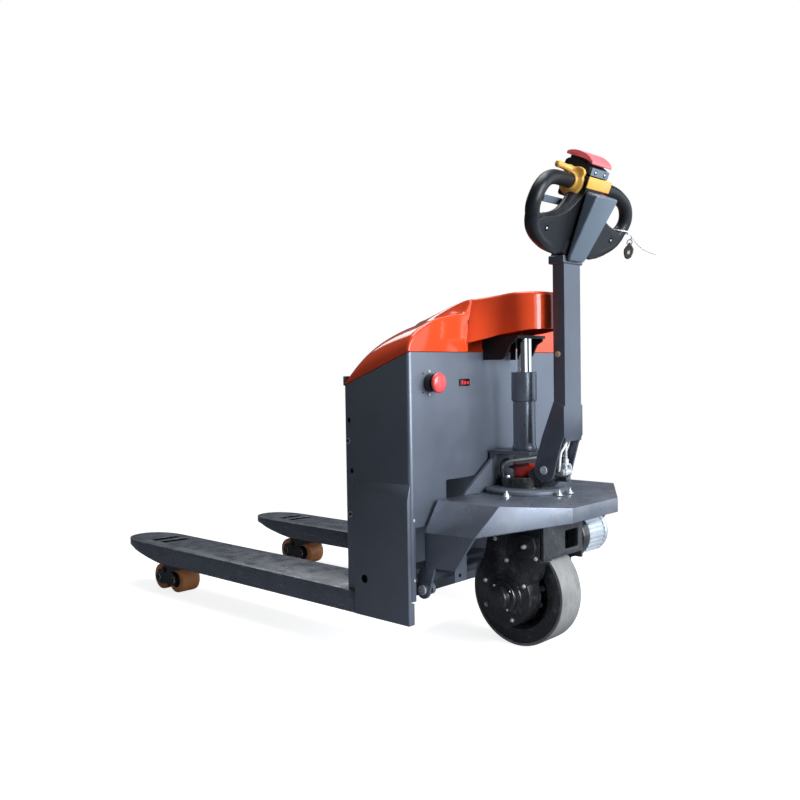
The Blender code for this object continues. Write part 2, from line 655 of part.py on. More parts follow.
cylinder = rod("lift_cylinder", (0.082, 0.0, MAST_TOP + GAP), (0.082, 0.0, 0.599), 0.0275, 24)
joined(cylinder, rod("cylinder_foot", (0.082, 0.0, MAST_TOP + GAP), (0.082, 0.0, 0.490), 0.0295, 24))
cut(cylinder, rod("cylinder_bore", (0.082, 0.0, 0.500), (0.082, 0.0, 0.65), 0.0207, 20))
finish(cylinder, PAINT, origin)
gland = rod("cylinder_gland", (0.082, 0.0, 0.599 + GAP), (0.082, 0.0, 0.671), 0.031, 24, 0.0015)
cut(gland, rod("gland_bore", (0.082, 0.0, 0.55), (0.082, 0.0, 0.70), 0.0207, 20))
finish(gland, PAINT, origin)


# ---------------------------------------------------------------- steered drive unit
table = turned("turntable", [(0.0, 0.415), (0.058, 0.415), (0.060, 0.412), (0.060, 0.3913), (0.0620, 0.3913),
                             (0.0620, 0.3303), (0.0, 0.3303)], (STEER_X, 0.0, 0.0), 32)
lug = (arc(TILT_PIN, 0.018, 0.0, 100.0, 6)
       + [(0.128, 0.440), (0.116, 0.428), (0.116, 0.3925), (0.150, 0.3925), (0.176, 0.415)])
joined(table, plate("tiller_lug", lug, 0.068, (0.0, 0.0, 0.0), UPRIGHT_XZ))
cut(table, rod("tilt_bore", (TILT_PIN[0], -0.06, TILT_PIN[1]), (TILT_PIN[0], 0.06, TILT_PIN[1]), 0.0104, 20))
joined(table, box("spring_arm", (0.170, -0.006, 0.408), (0.206, 0.006, 0.420), 0.002))
finish(table, BLACK_GLOSS, steering_axis)
cap = rod("turntable_cap", (STEER_X, 0.0, 0.4153), (STEER_X, 0.0, 0.446), 0.027, 28, 0.002, 0.030)
finish(cap, RED_GLOSS, steering_axis)

bracket = box("drive_bracket", (0.030, -0.097, 0.318), (0.200, 0.074, 0.3300), 0.001, 1)
joined(bracket, box("bracket_rear", (0.192, -0.097, 0.232), (0.200, 0.074, 0.325), 0.001, 1))
joined(bracket, box("bracket_motor_side", (0.098, 0.066, 0.216), (0.200, 0.074, 0.325), 0.001, 1))
cut(bracket, box("bracket_window", (0.15, -0.006, 0.247), (0.25, 0.052, 0.292), 0.003, 1))
cut(bracket, rod("shaft_hole", (MOTOR_AXIS[0], 0.05, MOTOR_AXIS[1]), (MOTOR_AXIS[0], 0.09, MOTOR_AXIS[1]), 0.014, 20))
finish(bracket, ((0.2, 0.21, 0.22), 0.45, 1.0), steering_axis)

GEAR_THICK = GEAR_Y[1] - GEAR_Y[0]
GEAR_MID = (GEAR_Y[0] + GEAR_Y[1]) / 2
case = (arc((STEER_X, 0.136), 0.076, 158.0, 385.0, 30)
        + [(0.1640, 0.1800), (0.1760, 0.2120), (0.1890, 0.2260), (0.1890, 0.3177), (0.052, 0.3177), (0.036, 0.270)])
gearbox = plate("gearbox", case, GEAR_THICK, (0.0, GEAR_MID, 0.0), UPRIGHT_XZ)
rounded(gearbox, 0.006)
joined(gearbox, rod("output_shaft", (STEER_X, -0.060, WHEEL_R), (STEER_X, -0.012, WHEEL_R), 0.020, 24))
finish(gearbox, BLACK_GLOSS, steering_axis)
hub_cap = rod("hub_cap", (STEER_X, GEAR_Y[0] - GAP, WHEEL_R), (STEER_X, -0.108, WHEEL_R), 0.040, 28, 0.002)
joined(hub_cap, rod("hub_nose", (STEER_X, -0.105, WHEEL_R), (STEER_X, -0.125, WHEEL_R), 0.026, 24, 0.002))
finish(hub_cap, BLACK_GLOSS, steering_axis)

tyre = rod("drive_tyre", (STEER_X, -WHEEL_HALF, WHEEL_R), (STEER_X, WHEEL_HALF, WHEEL_R), WHEEL_R, 44, 0.004)
cut(tyre, rod("tyre_bore", (STEER_X, -0.06, WHEEL_R), (STEER_X, 0.06, WHEEL_R), 0.0903, 32))
finish(tyre, ((0.5, 0.49, 0.47), 0.6, 0.0), wheel_axis)
wheel_hub = rod("drive_wheel_hub", (STEER_X, -0.040, WHEEL_R), (STEER_X, 0.038, WHEEL_R), 0.090, 32, 0.002)
cut(wheel_hub, rod("hub_bore", (STEER_X, -0.06, WHEEL_R), (STEER_X, -0.008, WHEEL_R), 0.0204, 24))
finish(wheel_hub, BLACK_GLOSS, wheel_axis)

flange = rod("motor_flange", (MOTOR_AXIS[0], 0.0743, MOTOR_AXIS[1]), (MOTOR_AXIS[0], 0.104, MOTOR_AXIS[1]),
             0.0545, 28, 0.002)
joined(flange, rod("input_shaft", (MOTOR_AXIS[0], -0.0475, MOTOR_AXIS[1]), (MOTOR_AXIS[0], 0.090, MOTOR_AXIS[1]),
                   0.0090, 16))
finish(flange, BLACK_GLOSS, steering_axis)
motor = rod("drive_motor", (MOTOR_AXIS[0], 0.1043, MOTOR_AXIS[1]), (MOTOR_AXIS[0], 0.200, MOTOR_AXIS[1]),
            0.0540, 28, 0.008)
finish(motor, ((0.62, 0.64, 0.66), 0.4, 1.0), steering_axis)


# ---------------------------------------------------------------- tiller
ARM_HALF = 0.035
channel = [(0.191, -ARM_HALF), (0.222, -ARM_HALF), (0.222, ARM_HALF), (0.191, ARM_HALF), (0.191, ARM_HALF - 0.004),
           (0.218, ARM_HALF - 0.004), (0.218, -ARM_HALF + 0.004), (0.191, -ARM_HALF + 0.004)]
arm = plate("tiller_arm", channel, 0.420, (0.0, 0.0, 0.717))
ear = arc(TILT_PIN, 0.028, 170.0, 350.0, 14) + [(0.212, 0.500), (0.222, 0.520), (0.222, 0.590), (0.194, 0.602), (0.160, 0.515)]
for side in (-1, 1):
    joined(arm, plate("tiller_ear", ear, 0.006, (0.0, side * (ARM_HALF + 0.0028), 0.0), UPRIGHT_XZ))
joined(arm, box("head_clamp", (0.183, -0.042, 0.9225), (0.226, 0.042, 0.9420), 0.002))
cut(arm, rod("ear_bore", (TILT_PIN[0], -0.06, TILT_PIN[1]), (TILT_PIN[0], 0.06, TILT_PIN[1]), 0.0104, 20))
finish(arm, PAINT, tilt_axis)
pin = rod("tilt_pin", (TILT_PIN[0], -0.044, TILT_PIN[1]), (TILT_PIN[0], 0.044, TILT_PIN[1]), 0.0100, 20, 0.001)
finish(pin, ZINC, steering_axis)

spring_rod = rod("gas_spring_rod", (0.200, 0.0, 0.436), (0.2005, 0.0, 0.620), 0.0040, 10)
joined(spring_rod, rod("spring_eye", (0.200, -0.009, 0.432), (0.200, 0.009, 0.432), 0.009, 12))
finish(spring_rod, ZINC, steering_axis)
spring_tube = rod("gas_spring_tube", (0.20033, 0.0, 0.556), (0.20075, 0.0, 0.712), 0.0085, 12)
cut(spring_tube, rod("rod_bore", (0.20026, 0.0, 0.53), (0.20069, 0.0, 0.690), 0.0046, 10))
finish(spring_tube, BLACK_PLASTIC, tilt_axis)

route = [(0.2105, 0.019, 0.915), (0.2105, 0.019, 0.80), (0.2105, 0.018, 0.65), (0.2085, 0.0185, 0.56), (0.200, 0.0195, 0.51),
         (0.189, 0.0195, 0.48), (0.183, 0.019, 0.466)]
finish(tube("tiller_cable", smooth_route(route, 4), 0.0030, 1), ((0.7, 0.7, 0.68), 0.5, 0.0), tilt_axis)


# ---------------------------------------------------------------- control head
# In the head's own frame +X faces the operator, +Z runs up the head.
def head_box(name, across, up, out, bevel=0.0, segments=2):
    return box(name, (out[0], across[0], up[0]), (out[1], across[1], up[1]), bevel, segments)


def head_rod(name, start, end, radius, sides=24, bevel=0.0):
    """A round bar between two (across, up, out) places."""
    return rod(name, (start[2], start[0], start[1]), (end[2], end[0], end[1]), radius, sides, bevel)


HUB = (0.171, -0.047)         # the hand loops' upper bars, (up, out): the throttle turns round them
PADDLE = (0.104, -0.056)      # hinge of the lift paddle, (up, out)
LOOP_R = 0.0165


def make_head():
    """The moulded body with its two hand loops."""
    half = [(0.0, 0.0135), (0.050, 0.0135), (0.075, 0.006), (0.130, 0.020), (0.172, 0.042), (0.190, 0.062),
            (0.172, 0.082), (0.140, 0.090), (0.105, 0.098), (0.076, 0.112), (0.056, 0.138)]
    body = plate("control_head", mirrored(half), 0.040, (-0.021, 0.0, 0.0), UPRIGHT_YZ)
    rounded(body, 0.006)
    joined(body, head_box("head_core", (-0.041, 0.041), (0.134, 0.192), (-0.080, -0.004), 0.006), head_frame)
    for side in (-1, 1):
        route = [(0.034, 0.171, -0.047), (0.085, 0.171, -0.047), (0.125, 0.170, -0.042), (0.160, 0.162, -0.034),
                 (0.187, 0.146, -0.026), (0.199, 0.120, -0.021), (0.192, 0.088, -0.020), (0.170, 0.062, -0.021),
                 (0.140, 0.050, -0.021)]
        points = [(out, side * across, up) for across, up, out in route]
        joined(body, tube("hand_loop", smooth_route(points, 2), LOOP_R, 2), head_frame)
        lug = head_box("paddle_lug", (0.026, 0.033), (0.096, 0.1103), (-0.063, -0.035))
        lug.location.y *= side
        joined(body, lug, head_frame)
    cut(body, head_rod("paddle_bore", (-0.05, *PADDLE), (0.05, *PADDLE), 0.0044, 16), head_frame)
    return finish(body, BLACK_PLASTIC, head_frame)


make_head()

cover_half = [(0.030, 0.0), (0.035, 0.012), (0.046, 0.154), (0.043, 0.160)]
rear_cover = plate("head_rear_cover", mirrored(cover_half), 0.034, (0.017, 0.0, 0.0), UPRIGHT_YZ)
wedge = [(0.0085, -0.010), (0.0352, 0.170), (0.060, 0.170), (0.060, -0.010)]
cut(rear_cover, plate("cover_wedge", wedge, 0.14, (0.0, 0.0, 0.0), UPRIGHT_XZ), head_frame)
rounded(rear_cover, 0.003)
cut(rear_cover, head_rod("cover_recess", (0.0, 0.1535, 0.016), (0.0, 0.180, 0.016), 0.0085), head_frame)
finish(rear_cover, PAINT, head_frame)
mode_button = head_rod("mode_button", (0.0, 0.1562, 0.016), (0.0, 0.1615, 0.016), 0.0074, 20, 0.0008)
joined(mode_button, head_rod("button_shank", (0.0, 0.1553, 0.016), (0.0, 0.158, 0.016), 0.004, 12), head_frame)
finish(mode_button, RED_GLOSS, head_frame)

head_hub = head_box("head_hub", (-0.041, 0.041), (0.1923, 0.2190), (-0.086, -0.012), 0.009)
cut(head_hub, head_rod("belly_bore", (0.0, 0.205, -0.049), (0.0, 0.230, -0.049), 0.0104), head_frame)
finish(head_hub, BLACK_PLASTIC, head_frame)
belly_half = [(-0.086, 0.2260), (-0.012, 0.2260), (-0.011, 0.231), (-0.024, 0.239), (-0.049, 0.242), (-0.074, 0.239),
              (-0.087, 0.232)]
belly = plate("belly_button", belly_half, 0.082, (0.0, 0.0, 0.0), UPRIGHT_XZ)
joined(belly, head_rod("belly_stem", (0.0, 0.2125, -0.049), (0.0, 0.230, -0.049), 0.0100), head_frame)
finish(belly, RED_GLOSS, head_frame)
band = head_box("head_band", (-0.049, 0.049), (0.166, 0.192), (-0.0037, 0.0), 0.001)
finish(band, YELLOW, head_frame)
face_plate = head_box("head_face_plate", (-0.038, 0.038), (0.194, 0.212), (-0.0117, -0.0085), 0.001)
finish(face_plate, PAINT, head_frame)

for side_name, side in SIDES:
    lever = arc(HUB[::-1], 0.030, 150.0, 445.0, 22) + [(-0.062, 0.207), (-0.078, 0.203), (-0.080, 0.192)]
    wing = plate("throttle_" + side_name, lever, 0.016, (0.0, side * 0.0498, 0.0), UPRIGHT_XZ)
    cut(wing, head_rod("loop_bore", (side * 0.03, *HUB), (side * 0.08, *HUB), LOOP_R + 0.0005, 24), head_frame)
    blade = [(-0.062, 0.206), (-0.078, 0.202), (-0.080, 0.193), (-0.068, 0.194)]
    joined(wing, plate("blade", blade, 0.052, (0.0, side * 0.0735, 0.0), UPRIGHT_XZ), head_frame)
    finish(wing, YELLOW, head_frame)

paddle = head_box("lift_paddle", (-0.118, 0.118), (0.112, 0.128), (-0.059, -0.053), 0.0015, 1)
joined(paddle, head_box("paddle_web", (-0.0245, 0.0245), (0.102, 0.114), (-0.0585, -0.0535)), head_frame)
joined(paddle, head_rod("paddle_shaft", (-0.0315, *PADDLE), (0.0315, *PADDLE), 0.0040, 16), head_frame)
finish(paddle, ((0.3, 0.32, 0.35), 0.45, 0.0), head_frame)

along = Vector((0.0, 0.447, 0.894))
spread = Vector((0.0, 0.894, -0.447))
out_of = Vector((1.0, 0.0, 0.0))
ring_middle = Vector((-0.0203, 0.1915, 0.0880))
loop = []
for index in range(22):
    turn = radians(24 + 316 * index / 21)
    loop.append(ring_middle + 0.0187 * (spread * cos(turn) + out_of * -sin(turn)) + along * 0.0002 * index)
tail = [(-0.010, 0.2135, 0.0800), (0.002, 0.2225, 0.0760), (0.020, 0.230, 0.080), (0.044, 0.236, 0.089),
        (0.072, 0.240, 0.096)]
tie = tube("cable_tie", loop + smooth_route(tail, 3), 0.0012, 1)
finish(tie, ((0.8, 0.8, 0.8), 0.5, 0.0), head_frame)

KEY_AT = (0.2580, 0.2225, 0.9990)
bow = circle((0.0, -0.004), 0.0105, 20)
key = plate("ignition_key", bow, 0.0024, (KEY_AT[0], KEY_AT[1], KEY_AT[2]), UPRIGHT_YZ)
joined(key, box("key_blade", (KEY_AT[0] - 0.0012, KEY_AT[1] - 0.0035, KEY_AT[2] - 0.044),
                (KEY_AT[0] + 0.0012, KEY_AT[1] + 0.0035, KEY_AT[2] - 0.010)))
cut(key, rod("key_hole", (KEY_AT[0] - 0.01, KEY_AT[1], KEY_AT[2]), (KEY_AT[0] + 0.01, KEY_AT[1], KEY_AT[2]), 0.0042, 16))
finish(key, ZINC, tilt_axis)


coil = []
for index in range(20):
    turn = radians(95 + 225 * index / 19)
    coil.append((STEER_X + 0.0385 * cos(turn), 0.0385 * sin(turn), 0.4235 + 0.024 * index / 19))
finish(tube("sensor_cable", coil, 0.0030, 1), BLACK_PLASTIC, steering_axis)
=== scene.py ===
"""Looks, light and camera for an electric pallet truck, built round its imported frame."""
from math import cos, exp, pi, radians, sin, sqrt

import bmesh
import bpy
from mathutils import Matrix, Vector


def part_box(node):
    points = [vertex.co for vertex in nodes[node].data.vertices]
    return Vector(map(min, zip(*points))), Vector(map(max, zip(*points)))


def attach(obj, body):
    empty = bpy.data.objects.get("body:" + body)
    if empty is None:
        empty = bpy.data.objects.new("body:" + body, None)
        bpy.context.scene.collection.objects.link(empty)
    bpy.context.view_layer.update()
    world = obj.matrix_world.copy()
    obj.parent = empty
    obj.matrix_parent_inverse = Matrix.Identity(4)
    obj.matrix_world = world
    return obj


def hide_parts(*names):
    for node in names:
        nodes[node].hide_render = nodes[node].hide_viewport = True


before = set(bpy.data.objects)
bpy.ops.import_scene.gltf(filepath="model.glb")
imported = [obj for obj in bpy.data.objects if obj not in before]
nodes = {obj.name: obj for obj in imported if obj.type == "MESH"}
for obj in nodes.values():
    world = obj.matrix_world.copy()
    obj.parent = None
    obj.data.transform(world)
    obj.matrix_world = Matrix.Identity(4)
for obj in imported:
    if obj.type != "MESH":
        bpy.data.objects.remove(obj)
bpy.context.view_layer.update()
scene = bpy.context.scene

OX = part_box("power_box")[1][0]      # rear face of the power box: local X = 0
BOX_DEPTH, BOX_HALF = 0.214, 0.332  # the box's length along the truck, and half its width
BOX_TOP, BOX_FALL = 0.721, 0.077    # height of its rear edge, and how far the edge falls to the front
FORK_MIDDLE = 0.26                  # middle of a fork from the centre plane
ROLLER_X = (-1.109, -1.029)         # axles of the load rollers
ROLLER_R = 0.04
STEER_X, WHEEL_R = 0.083, 0.132     # steering axis and the drive wheel's radius
GEAR_FACE = -0.0961                 # the gearbox's outer face
MOTOR_X, MOTOR_Z = 0.15, 0.262      # the drive motor's axis
STOP_Y, STOP_Z = -0.261, 0.65       # the emergency stop's middle
LEAN = radians(23.3)                # lean of the control head
BAR_UP, BAR_OUT = 0.171, -0.047     # the bar of the hand loops, in the head's own frame
TURN = 2 * pi


def P(x, y, z):
    """A point measured from the rear face of the power box, in the row frame."""
    return Vector((x + OX, y, z))


HEAD = Matrix.Translation(P(0.226, 0, 0.93)) @ Matrix.Rotation(LEAN, 4, "Y")


def H(across, up, out):
    """A point in the head's own frame: across to the right, up the head, out to the operator."""
    return HEAD @ Vector((out, across, up))


def H_side(out, up, across):
    """The same point, for outlines that are drawn in the head's side view."""
    return H(across, up, out)


HEAD_OUT = H(0, 0, 1) - H(0, 0, 0)
HEAD_ACROSS = H(1, 0, 0) - H(0, 0, 0)
X, Y, Z = (1, 0, 0), (0, 1, 0), (0, 0, 1)


# ---- materials
def preset(node, values):
    """Set a node's own sockets."""
    for socket, value in values.items():
        node.inputs[socket].default_value = value


def principled(name):
    made = bpy.data.materials.new(name)
    made.use_nodes = True
    return made, made.node_tree, made.node_tree.nodes["Principled BSDF"]


def noise(tree, scale, detail, stretch=(1.0, 1.0, 1.0), rough=0.55):
    """A noise value between 0 and 1, fixed to the object."""
    place = tree.nodes.new("ShaderNodeTexCoord")
    mapping = tree.nodes.new("ShaderNodeMapping")
    preset(mapping, {"Scale": stretch})
    texture = tree.nodes.new("ShaderNodeTexNoise")
    preset(texture, {"Scale": scale, "Detail": detail, "Roughness": rough})
    tree.links.new(place.outputs["Object"], mapping.inputs["Vector"])
    tree.links.new(mapping.outputs["Vector"], texture.inputs["Vector"])
    return texture.outputs["Fac"]


def ramp(tree, value, stops):
    """Colours or grey values (one number) between two stops."""
    node = tree.nodes.new("ShaderNodeValToRGB")
    elements = node.color_ramp.elements
    for element, (position, colour) in zip(elements, stops):
        element.position = position
        element.color = (*colour, 1.0) if len(colour) == 3 else (*colour * 3, 1.0)
    tree.links.new(value, node.inputs["Fac"])
    return node.outputs["Color"]


def mix(tree, factor, first, second):
    """A blend of two colours, of which either may come from another node."""
    node = tree.nodes.new("ShaderNodeMix")
    node.data_type = "RGBA"
    tree.links.new(factor, node.inputs["Factor"])
    for socket, value in ((node.inputs["A"], first), (node.inputs["B"], second)):
        if isinstance(value, tuple):
            socket.default_value = (*value, 1.0)
        else:
            tree.links.new(value, socket)
    return node.outputs["Result"]


def tone(colour, factor):
    return tuple(min(channel * factor, 1.0) for channel in colour)


def surface(name, colour, rough=(0.3, 0.45), metallic=0, spread=0.12, scale=9.0, grain=260.0, bump=0.05,
            coat=0, marks=None, dust=None, specular=0.5, distance=0.0004):
    """A painted, moulded or metal surface: cloudy tone, uneven gloss, fine relief, marks and dust."""
    made, tree, shader = principled(name)
    cloud = noise(tree, scale, 5.0)
    base = ramp(tree, cloud, [(0.3, tone(colour, 1 - spread)), (0.72, tone(colour, 1 + spread))])
    if marks:
        mark_colour, stretch, mark_scale, low, high = marks
        lines = noise(tree, mark_scale, 6.0, stretch, 0.7)
        base = mix(tree, ramp(tree, lines, [(low, (0,)), (high, (1.0,))]), base, mark_colour)
    if dust:
        dust_colour, dust_scale, low, high = dust
        specks = noise(tree, dust_scale, 8.0, (1, 1, 1), 0.7)
        base = mix(tree, ramp(tree, specks, [(low, (0,)), (high, (1.0,))]), base, dust_colour)
    tree.links.new(base, shader.inputs["Base Color"])
    gloss = ramp(tree, noise(tree, scale * 2.3, 5.0), [(0.3, (rough[0],)), (0.75, (rough[1],))])
    tree.links.new(gloss, shader.inputs["Roughness"])
    preset(shader, {"Metallic": metallic, "Specular IOR Level": specular})
    if coat:
        preset(shader, {"Coat Weight": coat, "Coat Roughness": 0.06})
    relief = tree.nodes.new("ShaderNodeBump")
    preset(relief, {"Strength": bump, "Distance": distance})
    tree.links.new(noise(tree, grain, 3.0), relief.inputs["Height"])
    tree.links.new(relief.outputs["Normal"], shader.inputs["Normal"])
    return made


BLUED = (0.052, 0.059, 0.074)
paint = surface("graphite_paint", tone(BLUED, 2.6), (0.36, 0.46), 0.44, spread=0.07, grain=420, bump=0.06,
                specular=1.0, dust=((0.24, 0.24, 0.25), 60.0, 0.7, 0.82))
deck_paint = surface("scuffed_deck_paint", tone(BLUED, 2.7), (0.24, 0.46), 0.44, spread=0.09, grain=300, bump=0.08,
                     specular=1.0, marks=((0.26, 0.255, 0.25), (1.0, 1.0, 1.0), 6.0, 0.54, 0.82))
fork_paint = surface("scuffed_fork_paint", tone(BLUED, 2.0), (0.15, 0.5), 0.42, spread=0.16, specular=0.9,
                     marks=((0.4, 0.41, 0.43), (1.0, 7.0, 7.0), 16.0, 0.58, 0.74), grain=90, bump=0.3,
                     distance=0.001)
arm_paint = surface("arm_paint", tone(BLUED, 1.9), (0.3, 0.42), 0.5, spread=0.08, specular=0.9, grain=420)
cast_paint = surface("cast_paint", tone(BLUED, 1.7), (0.36, 0.55), spread=0.14, grain=150, bump=0.35,
                     distance=0.0008, dust=((0.16, 0.14, 0.12), 40.0, 0.62, 0.85))
cylinder_paint = surface("cylinder_paint", tone(BLUED, 2.8), (0.24, 0.36), 0.45, grain=500, bump=0.05,
                         specular=0.9)
bracket_black = surface("bracket_black", (0.009, 0.009, 0.01), (0.45, 0.6), spread=0.2, grain=300, specular=0.3)
red = surface("glossy_red_moulding", (0.7, 0.066, 0.017), (0.1, 0.17), spread=0.05, scale=5, grain=160,
              bump=0.02, coat=0.35, specular=0.3)
button_red = surface("button_red_moulding", (0.8, 0.085, 0.085), (0.24, 0.34), spread=0.06, grain=350, coat=0.2)
belly_red = surface("belly_cap_moulding", (0.95, 0.15, 0.165), (0.34, 0.44), spread=0.05, grain=350)
cap_red = surface("cap_red_enamel", (0.78, 0.05, 0.03), (0.14, 0.26), spread=0.12, grain=200, coat=0.5)
yellow = surface("warm_yellow_moulding", (0.72, 0.385, 0.07), (0.28, 0.4), spread=0.07, grain=350, bump=0.1)
charcoal = surface("charcoal_moulding", (0.0095, 0.0108, 0.0132), (0.34, 0.48), spread=0.12, grain=900, bump=0.3,
                   specular=0.32)
blue_grey = surface("blue_grey_moulding", (0.118, 0.152, 0.19), (0.38, 0.5), 0.15, spread=0.06, grain=900,
                    bump=0.25, specular=0.8)
black_gloss = surface("gloss_black_paint", (0.014, 0.014, 0.016), (0.16, 0.36), spread=0.2, grain=120, bump=0.2,
                      dust=((0.11, 0.105, 0.105), 26.0, 0.52, 0.78), specular=0.9)
dark_metal = surface("dark_running_gear", (0.02, 0.021, 0.024), (0.3, 0.5), spread=0.2, grain=200, bump=0.2)
zinc = surface("zinc_plate", (0.7, 0.72, 0.74), (0.2, 0.36), 0.55, 0.1, 40, 300, 0.1)
plate_steel = surface("mottled_plate_steel", (0.04, 0.042, 0.046), (0.3, 0.5), 0.3, 0.25, 60.0, 240, 0.3,
                      dust=((0.11, 0.115, 0.12), 150.0, 0.54, 0.7), specular=0.7)
chrome = surface("hard_chrome", (0.8, 0.81, 0.83), (0.05, 0.1), 1.0, 0.03, 12, 500, 0.01)
silver = surface("cast_aluminium", (0.62, 0.65, 0.69), (0.3, 0.45), 0.6, 0.1, 30, 260, 0.25)
tread = surface("worn_grey_tread", (0.25, 0.243, 0.232), (0.5, 0.75), spread=0.16, scale=16, grain=160, bump=0.4,
                marks=((0.155, 0.15, 0.143), (1.0, 3.0, 1.0), 30.0, 0.5, 0.72), distance=0.0008)
load_tread = surface("amber_roller_tread", (1.0, 0.37, 0.135), (0.32, 0.5), spread=0.12, scale=26, grain=300,
                     dust=((0.62, 0.25, 0.11), 70.0, 0.58, 0.8))
rubber = surface("black_rubber", (0.018, 0.018, 0.019), (0.5, 0.65), spread=0.1, grain=500, bump=0.2)
cable_black = surface("black_cable", (0.014, 0.014, 0.015), (0.38, 0.5), spread=0.1, grain=700)
cable_white = surface("white_cable", (0.72, 0.72, 0.7), (0.36, 0.5), spread=0.05, grain=600)
brass = surface("brassy_bolt", (0.62, 0.52, 0.33), (0.32, 0.45), 0.55, 0.1, 60, 400)
battery_case = surface("battery_case", (0.03, 0.03, 0.033), (0.45, 0.6), spread=0.1, grain=200)
display_black = surface("display_black", (0.01, 0.008, 0.008), (0.06, 0.12), spread=0.3, scale=300, grain=300)
display_glass = surface("display_window", (0.62, 0.02, 0.02), (0.2, 0.3), spread=0.3, scale=300, grain=300)
pale_lead = surface("pale_lead", (0.46, 0.52, 0.49), (0.3, 0.45), grain=500)
# painted shade: a flat black without gloss, laid in holes, slots, screw wells and under the fork slots to stand for
# the shade inside them
painted_hole_shade = surface("painted_shade_in_holes", (0.004, 0.004, 0.004), (0.85, 0.95), spread=0.1, grain=300, specular=0)

# the looks of the nodes that are shown as they are, and the width of their softened edges
LOOKS = (
    (zinc, "link_pin_left link_pin_right tilt_pin gas_spring_rod push_rod_left push_rod_right"),
    (dark_metal, "roller_yoke_left roller_yoke_right bogie_left bogie_right"), (paint, "battery_tray"),
    (battery_case, "battery_pack"), (black_gloss, "hydraulic_power_pack"), (silver, "motor_controller"),
    (rubber, "emergency_stop_collar"), (display_black, "battery_display"), (chrome, "lift_rod"),
    (bracket_black, "rod_head_bracket"), (cast_paint, "torsion_shaft"), (cap_red, "turntable_cap"),
    (cable_black, "sensor_cable"), (cable_white, "tiller_cable"), (cylinder_paint, "gas_spring_tube"),
    (button_red, "mode_button"), (blue_grey, "lift_paddle"))
EDGE = {"rod_head_bracket": 0.001, "lift_paddle": 0.0016, "battery_pack": 0.003}


def soften(obj, width, segments=2, angle=32.0):
    """Round the edges that are sharper than an angle."""
    edges = obj.modifiers.new("soft_edges", "BEVEL")
    edges.width = width
    edges.segments = segments
    edges.limit_method = "ANGLE"
    edges.angle_limit = radians(angle)
    return obj


def dressed(obj, look):
    """Give an object this one material."""
    obj.data.materials.clear()
    obj.data.materials.append(look)


for look, names in LOOKS:
    for name in names.split():
        dressed(nodes[name], look)
        if name in EDGE:
            soften(nodes[name], EDGE[name])


# ---- building pieces
def shaded(obj, smooth):
    """Smooth shading, but sharp where faces meet at more than this many degrees."""
    obj.data.shade_smooth()
    obj.data.set_sharp_from_angle(angle=radians(smooth))


def new_object(name, bm, look, smooth=35.0):
    mesh = bpy.data.meshes.new(name)
    bmesh.ops.recalc_face_normals(bm, faces=bm.faces)
    bm.to_mesh(mesh)
    bm.free()
    obj = bpy.data.objects.new(name, mesh)
    scene.collection.objects.link(obj)
    mesh.materials.append(look)
    shaded(obj, smooth)
    return obj


def settle(obj, body, stands_for=()):
    """Put a piece on its body, perhaps in place of a node."""
    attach(obj, body)
    if stands_for:
        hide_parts(*stands_for)


def piece(name, bm, look, body, stands_for=(), smooth=30.0):
    """A finished piece from the mesh in bm."""
    settle(new_object(name, bm, look, smooth), body, stands_for)


def baked(obj):
    """Replace an object's mesh by what its modifiers make of it."""
    bpy.context.view_layer.update()
    graph = bpy.context.evaluated_depsgraph_get()
    mesh = bpy.data.meshes.new_from_object(obj.evaluated_get(graph))
    obj.modifiers.clear()
    obj.data = mesh
    return obj


def rounded(name, bm, look, width, segments, angle=40.0, smooth=35.0):
    """An object whose edges are rounded to a width."""
    return baked(soften(new_object(name, bm, look, smooth), width, segments, angle))


def hollowed(obj, bm, look, smooth):
    """Cut the closed shape in bm out of an object."""
    cutter = new_object("cutter", bm, look)
    cut = obj.modifiers.new("cut", "BOOLEAN")
    cut.operation, cut.object, cut.solver = "DIFFERENCE", cutter, "EXACT"
    baked(obj)
    bpy.data.objects.remove(cutter)
    shaded(obj, smooth)
    dressed(obj, look)


def ring_about(bm, centre, side, up, radius, count, start=0):
    """A circle of vertices in the plane of side and up."""
    angles = [start + TURN * k / count for k in range(count)]
    return [bm.verts.new(centre + radius * (side * cos(angle) + up * sin(angle))) for angle in angles]


def skin(bm, first, second):
    """The faces between two rings, of which either may be a single point."""
    for k in range(max(len(first), len(second))):
        after = k + 1
        if len(first) == 1:
            bm.faces.new((first[0], second[k], second[after % len(second)]))
        elif len(second) == 1:
            bm.faces.new((first[k], second[0], first[after % len(first)]))
        else:
            bm.faces.new((first[k], first[after % len(first)], second[after % len(first)], second[k]))


def sweep(bm, points, radius, sides, closed=False):
    """A round tube along points, whose radius may be a function of the way from 0 to 1."""
    points = [Vector(p) for p in points]
    count = len(points)
    rings = []
    side = None
    for index, point in enumerate(points):
        ahead = points[(index + 1) % count] if closed or index < count - 1 else point
        behind = points[index - 1] if closed or index > 0 else point
        along = (ahead - behind).normalized()
        if side is None:
            side = along.orthogonal().normalized()
        side = (side - along * side.dot(along)).normalized()
        up = along.cross(side)
        size = radius(index / (count - 1)) if callable(radius) else radius
        rings.append(ring_about(bm, point, side, up, size, sides))
    for first, second in zip(rings, rings[1:] + (rings[:1] if closed else [])):
        skin(bm, first, second)
    if not closed:
        bm.faces.new(rings[0][::-1])
        bm.faces.new(rings[-1])


def lathe(bm, centre, axis, profile, steps):
    """Turn (radius, along) points about an axis through centre."""
    axis = Vector(axis).normalized()
    centre = Vector(centre)
    side = axis.orthogonal().normalized()
    up = axis.cross(side)
    rings = []
    for radius, along in profile:
        place = centre + axis * along
        rings.append(ring_about(bm, place, side, up, radius, steps) if radius else [bm.verts.new(place)])
    for first, second in zip(rings, rings[1:]):
        skin(bm, first, second)


